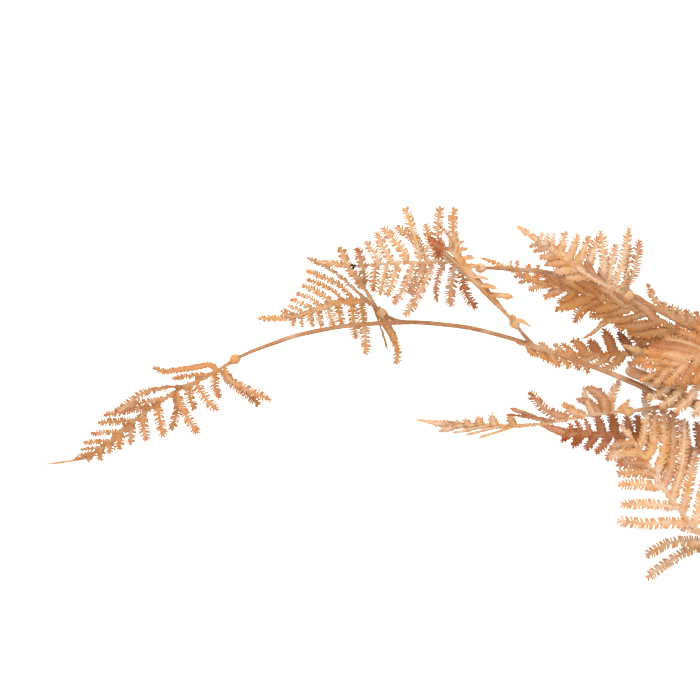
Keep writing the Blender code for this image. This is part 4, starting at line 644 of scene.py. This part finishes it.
# A tooth's section is a soft lozenge. Its width and thickness change at each share of its length.
LOZENGE = np.array([(1, 0.1), (0, 1), (-1, 0.1), (0, -0.7)], float)
TOOTH_REACH = np.array([0.0, 0.55, 0.86, 1.0])
TOOTH_WIDE = np.array([1.1, 1.0, 0.9, 0.5])
TOOTH_THICK = np.array([1.0, 0.95, 0.8, 0.4])
ANGLE = np.linspace(0, 2 * np.pi, STEM_SIDES, endpoint=False)


def swept(middle, across, up, x, y):
    """Rings along middle lines: each corner stands x across and y up from its middle."""
    return middle[..., None, :] + x[..., None] * across[..., None, :] + y[..., None] * up[..., None, :]


def strap(middle, across, up, half, crest, ruffle=0.0):
    """A flat lamina with a narrow midrib: two edges that may ruffle up or down, two shoulders and a crest."""
    shoulder = np.minimum(MIDRIB_HALF, 0.6 * half)
    thin = np.minimum(WEB_HALF, 0.6 * crest)
    left, right = ruffle + 0 * half, -0.7 * ruffle + 0 * half
    x = np.stack([half, shoulder, 0 * half, -shoulder, -half, -half, 0 * half, half], -1)
    top = [left + thin, 1.2 * thin, crest, 1.2 * thin, right + thin]
    y = np.stack(top + [right - thin, -0.7 * crest, left - thin], -1)
    return swept(middle, across, up, x, y)


def leaf_outline(v, solid, head):
    """Share of a leaflet's half width at each share v of its length: nearly full, with a round head."""
    foot = 0.5 + 0.45 * ease(0.0, 0.3, solid)
    return np.clip(foot + 3.5 * v, 0, 1) * np.sqrt(1 - 0.97 * np.clip((v - 1 + head) / head, 0, 1) ** 2)


def add_teeth(skin, place, tangent, across, up, length, lean, hook, lift, along, dice, dark, width):
    """Comb teeth. Each leaves its place between tangent and across, narrows to a blunt end, hooks forward and
    lifts: both bends grow with the square of the share of its length."""
    r = TOOTH_REACH[:, None]
    lean = np.radians(lean)[:, None]
    out = unit(np.cos(lean) * tangent + np.sin(lean) * across)
    bend = hook[:, None] * tangent + lift[:, None] * up
    middle = place[:, None] + length[:, None, None] * (out[:, None] * r + bend[:, None] * r**2)
    slope = unit(out[:, None] + 2 * bend[:, None] * r)
    flat = unit(np.cross(up[:, None], slope))
    lifted = np.cross(slope, flat)
    wide = 0.5 * width[:, None] * TOOTH_WIDE
    thick = 0.5 * TOOTH_THICKNESS * TOOTH_THICK * np.ones_like(wide)
    grid = swept(middle, flat, lifted, wide[..., None] * LOZENGE[:, 0], thick[..., None] * LOZENGE[:, 1])
    skin.add(grid, 0.8 * r[None], along[:, None, None], dice[:, None, None], dark[:, None, None])


def add_bristles(skin, rng, start, way, side, up, dice, dark):
    """A fine bent bristle that carries a leaflet's middle line past its end."""
    n = len(start)
    s = np.array([0.0, 0.5, 1.0])
    long = rng.uniform(1.0, 2.3, n)[:, None, None]
    bent = (rng.normal(0, 0.25, n)[:, None] * s**2)[..., None]
    line = start[:, None] + long * (s[:, None] * way[:, None] + bent * side[:, None])
    thick = np.array([0.3, 0.2, 0.08])[None, :, None] * LOZENGE.T[:, None, None]
    x, y = np.broadcast_to(thick, (2, n, len(s), len(LOZENGE)))
    grown = swept(line, np.repeat(side[:, None], len(s), 1), np.repeat(up[:, None], len(s), 1), x, y)
    skin.add(grown, 0.6, 1.0, dice[:, None, None], dark[:, None, None])


def add_combs(skin, rng, rails, width, solid, head, dark, count):
    """Teeth along both edges of leaflets: rails are the middle lines with their tangent, across and up."""
    owner = np.repeat(np.arange(len(count)), count)
    order = np.arange(len(owner)) - np.repeat(np.cumsum(count) - count, count)
    for side in (1, -1):
        share = (order + 0.5 + side * 0.16 + rng.normal(0, 0.1, len(owner))) / count[owner]
        share = np.clip(0.03 + 0.95 * share, 0.02, 0.985)
        k = share * (STATIONS - 1)
        low = np.minimum(k.astype(int), STATIONS - 2)
        blend = (k - low)[:, None]
        place, t, a, u = (rows[owner, low] * (1 - blend) + rows[owner, low + 1] * blend for rows in rails)
        room = np.maximum(leaf_outline(share, solid[owner], head[owner, 0]), 0.3)
        length = (0.5 * width[owner] * rng.uniform(0.94, 1.14, len(owner)) + 0.42) * room
        forward = ease(1 - 1.3 * head[owner, 0], 1.0, share)
        lean = 76 - 42 * forward + rng.normal(0, 5, len(owner))
        add_teeth(
            skin, place, unit(t), side * unit(a), unit(u), length, lean, rng.uniform(0.0, 0.25, len(owner)),
            rng.normal(0.02, 0.14, len(owner)), share, rng.random(len(owner)), dark[owner],
            TOOTH_SHARE * skin.pitch * rng.uniform(0.8, 1.15, len(owner)),
        )


def add_pinnae(skin, rng, middle, up, width, solid, dark):
    """Leaflets along their middle lines: each a lamina with teeth on both edges and a bristle at its end."""
    n = len(middle)
    reach = np.linalg.norm(np.diff(middle, axis=1), axis=2).sum(1)
    tangent = unit(np.gradient(middle, axis=1))
    up = unit(up - (up * tangent).sum(-1, keepdims=True) * tangent)
    v = np.linspace(0, 1, STATIONS)[None]
    curl = rng.normal(0, 0.25, (n, 1)) * v**2 + rng.normal(0, 0.12, (n, 1))
    across = np.cross(up, tangent)
    cos, sin = np.cos(curl)[..., None], np.sin(curl)[..., None]
    up, across = cos * up + sin * across, cos * across - sin * up
    whole = solid >= 1
    head = np.where((solid > POINTED_FROM) & ~whole, 0.5, np.minimum(0.4, 3.4 / reach))[:, None]
    outline = 0.5 * width[:, None] * leaf_outline(v, np.minimum(solid[:, None], 0.6), head)
    outline = outline * (1 + rng.normal(0, 0.1, (n, STATIONS)) * ease(0.0, 0.6, solid)[:, None])
    slit = SLIT_DEPTH * ease(solid[:, None] - 0.25, solid[:, None] + 0.3, v)
    slit = slit * (1 - 0.4 * ease(1 - 1.4 * head, 1 - 0.4 * head, v))
    cut = outline * np.where(whole[:, None], 1.0, 0.97 - slit)
    half = np.maximum(cut, np.minimum(0.48 - 0.14 * v, outline + 0.12))
    crest = 0.44 - 0.18 * v + np.zeros((n, 1))
    dice = rng.random(n)
    ruffle = rng.normal(0, 0.26, (n, STATIONS)) * np.clip(half / 2, 0, 1)
    corner = np.array([1, 0.2, 0, 0.2, 1, 1, 0.6, 1])
    edge = corner * np.clip(half / EDGE_TONE_HALF, 0.15, 1)[..., None]
    lamina = strap(middle, across, up, half, crest, ruffle)
    skin.add(lamina, edge, v[:, :, None], dice[:, None, None], dark[:, None, None])
    long = ~whole & (reach > 7)
    if long.any():
        ends = (rows[long, -1] for rows in (middle, tangent, across, up))
        add_bristles(skin, rng, *ends, dice[long], dark[long])
    count = np.where(whole, 0, np.maximum((reach * 0.95 / skin.pitch).astype(int), 2))
    add_combs(skin, rng, (middle, tangent, across, up), width, solid, head, dark, count)


def pinna_lines(plan, line, rng):
    """Middle lines, faces, widths and shares of a blade's leaflets, each starting on the rib."""
    rows = plan["pinnae"]
    if isinstance(rows, dict):
        return fan_lines(rows, line, plan["roll"], rng)
    middles, ups = [], []
    for row in rows:
        flat = np.array(row["path"], float)
        root = line[np.argmin(np.linalg.norm(line[:, :2] - flat[0], axis=1))]
        height = root[2] + row["rise"] * np.linspace(0, 1, len(flat)) ** 1.15
        points = np.c_[flat, height]
        points[0] = root
        middle = smooth(points, STATIONS)
        tangent = unit(np.gradient(middle, axis=0))
        side = unit(np.cross([0, 0, 1.0], tangent))
        turn = np.radians(np.linspace(row["turn"], row["twist"], STATIONS) + rng.normal(0, 5))[:, None]
        middles.append(middle)
        ups.append(np.cos(turn) * np.cross(tangent, side) + np.sin(turn) * side)
    values = [np.array([row[key] for row in rows], float) for key in ("width", "solid", "dark")]
    return [np.array(middles), np.array(ups)] + values


def fan_lines(rows, line, roll, rng):
    """Paired leaflets: straight out at their lean, bowed and drooping a little, narrower where they crowd."""
    pairs, v = rows["pairs"], np.linspace(0, 1, STATIONS)[None, :, None]
    length = np.linalg.norm(np.diff(line, axis=0), axis=1).sum()
    pitch = length * (rows["end"] - rows["start"]) / (pairs - 1)
    middles, ups, widths = [], [], []
    for side, name in ((1, "left"), (-1, "right")):
        u = np.linspace(0, 1, pairs)
        place, tangent, left, up = frames(line, rows["start"] + (rows["end"] - rows["start"]) * u, roll)
        reach = profile(rows[name], u) * rng.uniform(0.93, 1.05, pairs)
        lean = np.radians(profile(rows["lean_" + name], u) + rng.normal(0, 2.5, pairs))[:, None]
        fold = np.radians(8 + rng.normal(0, 4, pairs))[:, None]
        out = np.cos(fold) * side * left + np.sin(fold) * up
        along = np.cos(lean) * tangent + np.sin(lean) * out
        droop = rng.normal(-0.03, 0.05, pairs)[:, None] * up + rng.normal(0, 0.03, pairs)[:, None] * tangent
        middles.append(place[:, None] + reach[:, None, None] * (along[:, None] * v + droop[:, None] * v**2))
        face = np.cos(fold) * up - np.sin(fold) * side * left
        ups.append(np.repeat(face[:, None], STATIONS, axis=1))
        widths.append(np.minimum(LEAFLET_LIMIT, np.minimum(pitch * np.sin(lean[:, 0]), 0.6 * reach + 0.6)))
    solid = rng.uniform(0.05, 0.4, 2 * pairs)
    dark = rng.uniform(0, 0.4, 2 * pairs)
    return np.concatenate(middles), np.concatenate(ups), np.concatenate(widths), solid, dark


def add_rib(skin, rng, line, plan):
    """The rib: a lamina with a rounded spine along it, short teeth on its edges and a comb at its tip."""
    t = np.linspace(0, 1, RIB_STATIONS)
    length = np.linalg.norm(np.diff(line, axis=0), axis=1).sum()
    place, tangent, left, up = frames(line, t, plan["roll"])
    start, stop, tall = plan["comb"]
    half = profile(plan["body"], t) + 0.8 * np.exp(-t * length / 2.2) + rng.normal(0, 0.09, RIB_STATIONS)
    tip = np.sqrt(np.clip((stop + 0.01 - t) / 0.08, 0, 1))
    half = np.maximum(half, 0.36 * tall * ease(start - 0.03, start + 0.03, t) * tip)
    half = np.maximum(half, 0.15)
    crest = 0.30 + 0.5 * (1 - t) + 0.9 * np.exp(-t * length / 2.2)
    corner = np.array([1, 0.1, 0, 0.1, 1, 1, 0.6, 1]) * np.clip(half / EDGE_TONE_HALF, 0.1, 1)[:, None]
    russet = plan["tipped"] * ease(start - 0.06, start, t)
    ruffle = rng.normal(0, 0.22, RIB_STATIONS) * np.clip(half / 2, 0, 1)
    lamina = strap(*(rows[None] for rows in (place, left, up, half, crest, ruffle)))
    skin.add(lamina, corner[None], 0.25, 0.5, russet[None, :, None])
    count = int(length * (stop - 0.08) / skin.pitch)
    for side in (1, -1):
        at = 0.08 + (stop - 0.08) * (np.arange(count) + 0.5 + 0.16 * side + rng.normal(0, 0.12, count)) / count
        at = at[(at >= start) | (rng.random(count) < (0.85 if plan["teeth"] else 0.0))]
        inside = ease(start - 0.02, start + 0.02, at)
        p, tg, lf, u = frames(line, at, plan["roll"])
        tall_here = tall * np.sqrt(np.clip((stop + 0.01 - at) / 0.07, 0, 1))
        edge = profile(plan["body"], at) + plan["teeth"] * rng.uniform(0.35, 1.0, len(at))
        size = np.where(inside > 0.5, tall_here * rng.uniform(0.9, 1.1, len(at)) + 0.1, np.minimum(edge, 2.6))
        lean = 76 - 36 * ease(stop - 0.06, stop, at) + rng.normal(0, 6, len(at))
        add_teeth(
            skin, p, tg, side * lf, u, size, lean,
            rng.uniform(0, 0.25, len(at)), rng.normal(0.05, 0.12, len(at)),
            0.35 + 0.6 * inside * (at - start) / (1 - start), rng.random(len(at)), plan["tipped"] * inside,
            TOOTH_SHARE * skin.pitch * rng.uniform(0.85, 1.3, len(at)),
        )


def add_tube(skin, points, sections, wobble, rng):
    """A round stem: rings about the middle line, each with its own radius and a little slow unevenness."""
    line = smooth(points, sections)
    middle, radius = line[:, :3], line[:, 3]
    tangent = unit(np.gradient(middle, axis=0))
    side = unit(np.cross([0, 0, 1.0], tangent))
    up = np.cross(tangent, side)
    along = np.r_[0, np.cumsum(np.linalg.norm(np.diff(middle, axis=0), axis=1))]
    phase = rng.uniform(0, 6.28, 3)
    waves = np.sin(along[:, None] / 3.1 + phase[0] + 2 * ANGLE) + np.sin(along[:, None] / 7.3 + phase[1])
    uneven = 1 + wobble * (waves + 0.6 * np.sin(3 * ANGLE + phase[2] + along[:, None] / 11))
    ring = np.maximum(radius, 0.05)[:, None] * uneven
    grid = swept(middle, side, up, ring * np.cos(ANGLE), ring * np.sin(ANGLE))
    maps = np.stack(np.broadcast_arrays(0.5 + 0.5 * np.cos(ANGLE)[None], along[:, None] * 0.01), -1)
    skin.add(grid[None], maps=maps[None])


# A ball socket's profile: radius and distance toward the leaf, from its round end to the peg's cup.
BALL = np.array(
    [
        (0.05, 2.72), (0.9, 2.6), (1.7, 2.15), (2.35, 1.35), (2.66, 0.35), (2.6, -0.7), (2.15, -1.75),
        (1.75, -2.3), (1.7, -2.65), (1.45, -2.75), (1.15, -2.5), (1.05, -1.6), (0.05, -1.5),
    ]
)


def add_bead(skin, centre, away):
    """The ball's profile turned about the peg's axis, with a few low lumps around it."""
    side = unit(np.cross([0, 0, 1.0], away))
    up = np.cross(away, side)
    lumps = 1 + 0.05 * np.sin(3 * ANGLE + 40 * centre[0]) + 0.03 * np.sin(7 * ANGLE)
    lumps = lumps + 0.05 * np.sin(5 * ANGLE + 2.3 * BALL[:, 1, None])
    radial = lumps[..., None] * (np.cos(ANGLE)[:, None] * side + np.sin(ANGLE)[:, None] * up)
    grid = centre - BALL[:, 1, None, None] * away + BALL[:, 0, None, None] * radial
    skin.add(grid[None], 0.05, 0.1)


# ---------------------------------------------------------------------------------------------
# Materials
# ---------------------------------------------------------------------------------------------
class Value:
    """A socket whose arithmetic adds Math nodes."""

    def __init__(self, tree, socket):
        self.tree, self.socket = tree, socket

    def maths(self, operation, *parts):
        return self.tree.node("Math", {"operation": operation}, *parts)

    def __add__(self, other):
        return self.maths("ADD", self, other)

    def __sub__(self, other):
        return self.maths("SUBTRACT", self, other)

    def __rsub__(self, other):
        return self.maths("SUBTRACT", other, self)

    def __mul__(self, other):
        return self.maths("MULTIPLY", self, other)

    def __truediv__(self, other):
        return self.maths("DIVIDE", self, other)

    __radd__ = __add__
    __rmul__ = __mul__

    def clamp(self, low=0.0, high=1.0):
        """0 at low and below, 1 at high and above, straight between."""
        scaled = (self - low) / (high - low)
        scaled.socket.node.use_clamp = True
        return scaled


class Finish:
    """A material's node tree and the one method that adds its nodes."""

    def __init__(self, name):
        self.material = bpy.data.materials.new(name)
        self.material.use_nodes = True
        self.tree = self.material.node_tree
        self.shader = self.tree.nodes["Principled BSDF"]

    def node(self, kind, settings=None, *values, out=0, **named):
        """Add a node: settings first, then its sockets by order or by name, each a number, colour or link."""
        made = self.tree.nodes.new("ShaderNode" + kind)
        for key, value in (settings or {}).items():
            setattr(made, key, value)
        pairs = list(zip(made.inputs, values))
        pairs += [(made.inputs[key.replace("_", " ")], value) for key, value in named.items()]
        for socket, value in pairs:
            self.feed(socket, value)
        return Value(self, made.outputs[out])

    def feed(self, socket, value):
        if isinstance(value, Value):
            self.tree.links.new(value.socket, socket)
        else:
            socket.default_value = value

    def mix(self, factor, first, second):
        """A colour between two colours."""
        made = self.tree.nodes.new("ShaderNodeMix")
        made.data_type = "RGBA"
        colours = [s for s in made.inputs if s.type == "RGBA"]
        self.feed(made.inputs["Factor"], factor)
        self.feed(colours[0], first)
        self.feed(colours[1], second)
        return Value(self, [s for s in made.outputs if s.type == "RGBA"][0])

    def noise(self, scale, detail=3.0, rough=0.55, vector=None):
        where = vector or self.node("TexCoord", None, out=3)
        return self.node("TexNoise", None, Vector=where, Scale=scale, Detail=detail, Roughness=rough)

    def set(self, **sockets):
        for key, value in sockets.items():
            self.feed(self.shader.inputs[key.replace("_", " ")], value)


def rgb(red, green, blue, gain=1.0):
    """A screen colour, 0 to 255, as linear light."""
    c = np.array([red, green, blue]) / 255
    c = np.where(c <= 0.04045, c / 12.92, ((c + 0.055) / 1.055) ** 2.4) * gain
    return (*(float(x) for x in c), 1.0)


def leaf_finish(name, body, edge, tip, pale, gain):
    """Moulded leaf: pale ribs, deeper teeth, rusty leaflet ends, blotches and a faint grain."""
    f = Finish(name)
    colour = f.node("Attribute", {"attribute_name": "tone", "attribute_type": "GEOMETRY"})
    russet = Value(f, colour.socket.node.outputs["Alpha"])
    split = f.node("SeparateColor", None, colour).socket.node
    tooth, along, dice = (Value(f, split.outputs[k]) for k in range(3))
    blotch = f.noise(70.0, 4.0, 0.6)
    patch = f.noise(260.0, 3.0, 0.6)
    fine = f.noise(900.0, 3.0, 0.6)
    base = f.mix((blotch.clamp(0.4, 0.62) * 0.7 + dice * 0.5 - 0.2).clamp(), rgb(*body, gain), rgb(*pale, gain))
    base = f.mix(tooth.clamp(0.1, 0.9) * (0.35 + 0.75 * dice).clamp(), base, rgb(*edge, gain))
    base = f.mix(patch.clamp(0.5, 0.66) * 0.55, base, rgb(*edge, gain))
    base = f.mix(along.clamp(0.72, 1.06) * f.noise(130.0, 2.0).clamp(0.35, 0.75), base, rgb(*tip, gain))
    base = f.mix((russet * (0.55 + 0.45 * along)).clamp(0.0, 0.9), base, rgb(168, 90, 52, gain))
    base = f.mix(fine.clamp(0.52, 0.72) * 0.5, base, rgb(*tip, gain))
    place = f.node("VectorMath", {"operation": "MULTIPLY"}, f.node("TexCoord", None, out=3), (1, 1, 0))
    away = f.node("VectorMath", {"operation": "DISTANCE"}, place, SPECK, out=1)
    base = f.mix(1 - (away + 0.0012 * fine).clamp(0.0017, 0.0024), base, (0.012, 0.009, 0.006, 1))
    grain = f.node("Bump", None, Strength=0.7, Distance=0.0003, Height=fine + patch)
    f.set(Base_Color=base, Roughness=0.5 + 0.2 * fine, Normal=grain, Specular_IOR_Level=0.03)
    return f.material


def stem_finish(name, body, dark, pale, gain):
    """Coated stem: long streaks that follow it, darker flecks and a soft sheen."""
    f = Finish(name)
    along = f.node("UVMap", {"uv_map": "along"})
    stretched = f.node("Mapping", None, Vector=along, Scale=(9.0, 5.0, 1.0))
    streak = f.noise(3.0, 4.0, 0.65, stretched)
    blotch = f.noise(60.0, 3.0)
    fleck = f.noise(700.0, 3.0, 0.6)
    base = f.mix(streak.clamp(0.38, 0.64), rgb(*dark, gain), rgb(*body, gain))
    base = f.mix(blotch.clamp(0.5, 0.72) * 0.6, base, rgb(*pale, gain))
    base = f.mix(fleck.clamp(0.55, 0.75) * 0.6, base, rgb(*dark, gain))
    grain = f.node("Bump", None, Strength=0.5, Distance=0.00025, Height=streak + 0.5 * fleck)
    f.set(Base_Color=base, Roughness=0.5 + 0.25 * streak, Normal=grain, Specular_IOR_Level=0.06)
    return f.material


GAIN = 0.385  # how light every colour is
SPECK = (-0.1938, 0.0673, 0)  # a small dark spot on one leaflet, in metres
FINISHES = {
    "light": leaf_finish("peach_leaf", (233, 185, 133), (213, 139, 78), (198, 112, 58), (241, 219, 195), GAIN),
    "tan": leaf_finish("tan_leaf", (230, 172, 114), (207, 130, 69), (194, 107, 52), (239, 207, 171), GAIN),
    "brown": leaf_finish("ochre_leaf", (234, 170, 108), (215, 137, 74), (200, 112, 56), (242, 209, 172), GAIN),
    "dark": leaf_finish("russet_leaf", (213, 143, 98), (187, 103, 60), (168, 80, 44), (238, 200, 170), GAIN),
}
STEM = stem_finish("brown_stem", (222, 168, 124), (156, 100, 62), (240, 210, 180), GAIN)
# Extra russet of some leaves.
RUST = {"tip_leaf": 0.28, "crossing_leaf": 0.2, "back_leaf": 0.1, "lower_tip_leaf": 0.06}


# ---------------------------------------------------------------------------------------------
# Pieces
# ---------------------------------------------------------------------------------------------
def place_piece(piece, node, material):
    piece.data.materials.append(material)
    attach(piece, "root")
    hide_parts(node)


for number, (name, plan) in enumerate(LEAVES.items()):
    rng = np.random.default_rng(LEAF_SEED + number)
    skin = Skin(RUST.get(name, 0.0), COARSE_PITCH if name == "lower_leaf" else FINE_PITCH)
    for row in plan["blades"]:
        line = smooth(row["spine"], RIB_STATIONS)
        add_rib(skin, rng, line, row)
        add_pinnae(skin, rng, *pinna_lines(row, smooth(row["spine"], RIB_SAMPLES), rng))
    before, centre = np.array(plan["peg"], float)
    add_bead(skin, centre, unit(before - centre))
    for *points, radius in plan["spurs"]:
        round_end = radius * np.sqrt(1 - 0.97 * np.linspace(0, 1, len(points)) ** 2)
        add_tube(skin, np.c_[np.array(points, float), round_end], 12, 0.03, rng)
    place_piece(skin.make(name + "_fine"), name, FINISHES[plan["tone"]])

for number, (name, plan) in enumerate(STEMS.items()):
    rng = np.random.default_rng(STEM_SEED + number)
    skin = Skin()
    length = np.linalg.norm(np.diff(np.array(plan["line"])[:, :3], axis=0), axis=1).sum()
    add_tube(skin, plan["line"], int(length / RING_STEP), 0.018, rng)
    for twig in plan["twigs"]:
        radii = np.linspace(1.25, 0.9, len(twig))
        add_tube(skin, np.c_[np.array(twig, float), radii], 26, 0.02, rng)
    place_piece(skin.make(name + "_fine"), name, STEM)


# ---------------------------------------------------------------------------------------------
# Floor, light and camera
# ---------------------------------------------------------------------------------------------
def floor_piece():
    """A flat sheet whose top is the table."""
    mesh = bpy.data.meshes.new("table_top")
    reach = 9.0
    corners = [(-reach, -reach, 0), (reach, -reach, 0), (reach, reach, 0), (-reach, reach, 0)]
    mesh.from_pydata(corners, [], [(0, 1, 2, 3)])
    made = bpy.data.objects.new("table_top", mesh)
    bpy.context.scene.collection.objects.link(made)
    f = Finish("table_white")
    f.set(Base_Color=(0.9, 0.9, 0.9, 1), Roughness=0.9)
    made.data.materials.append(f.material)


def sun(name, energy, angle, turn, colour=(1, 1, 1)):
    light = bpy.data.lights.new(name, "SUN")
    light.energy = energy
    light.angle = np.radians(angle)
    light.color = colour
    holder = bpy.data.objects.new(name, light)
    holder.rotation_euler = [np.radians(a) for a in turn]
    bpy.context.scene.collection.objects.link(holder)


AMBIENT = 1.78
floor_piece()
sun("key", energy=4.0, angle=34, turn=(-36, -14, 0), colour=(1, 0.98, 0.96))
sun("fill", energy=1.5, angle=120, turn=(30, 24, 0), colour=(1, 0.8, 0.62))
world = bpy.data.worlds.new("studio")
world.use_nodes = True
world.node_tree.nodes["Background"].inputs["Color"].default_value = (1, 1, 1, 1)
world.node_tree.nodes["Background"].inputs["Strength"].default_value = AMBIENT
bpy.context.scene.world = world
bpy.context.scene.view_settings.view_transform = "Standard"

# A long lens straight above the leaves: its height gives the wanted width of view at half the spray's height.
LENS, SENSOR, VIEW_WIDTH, HALF_HEIGHT = 400, 36, 0.35, 0.045
camera = bpy.data.objects.new("camera", bpy.data.cameras.new("camera"))
camera.data.lens = LENS
camera.data.sensor_width = SENSOR
camera.data.clip_end = 100
camera.location = (-0.1954, 0.02575, HALF_HEIGHT + VIEW_WIDTH * LENS / SENSOR)
bpy.context.scene.collection.objects.link(camera)
bpy.context.scene.camera = camera
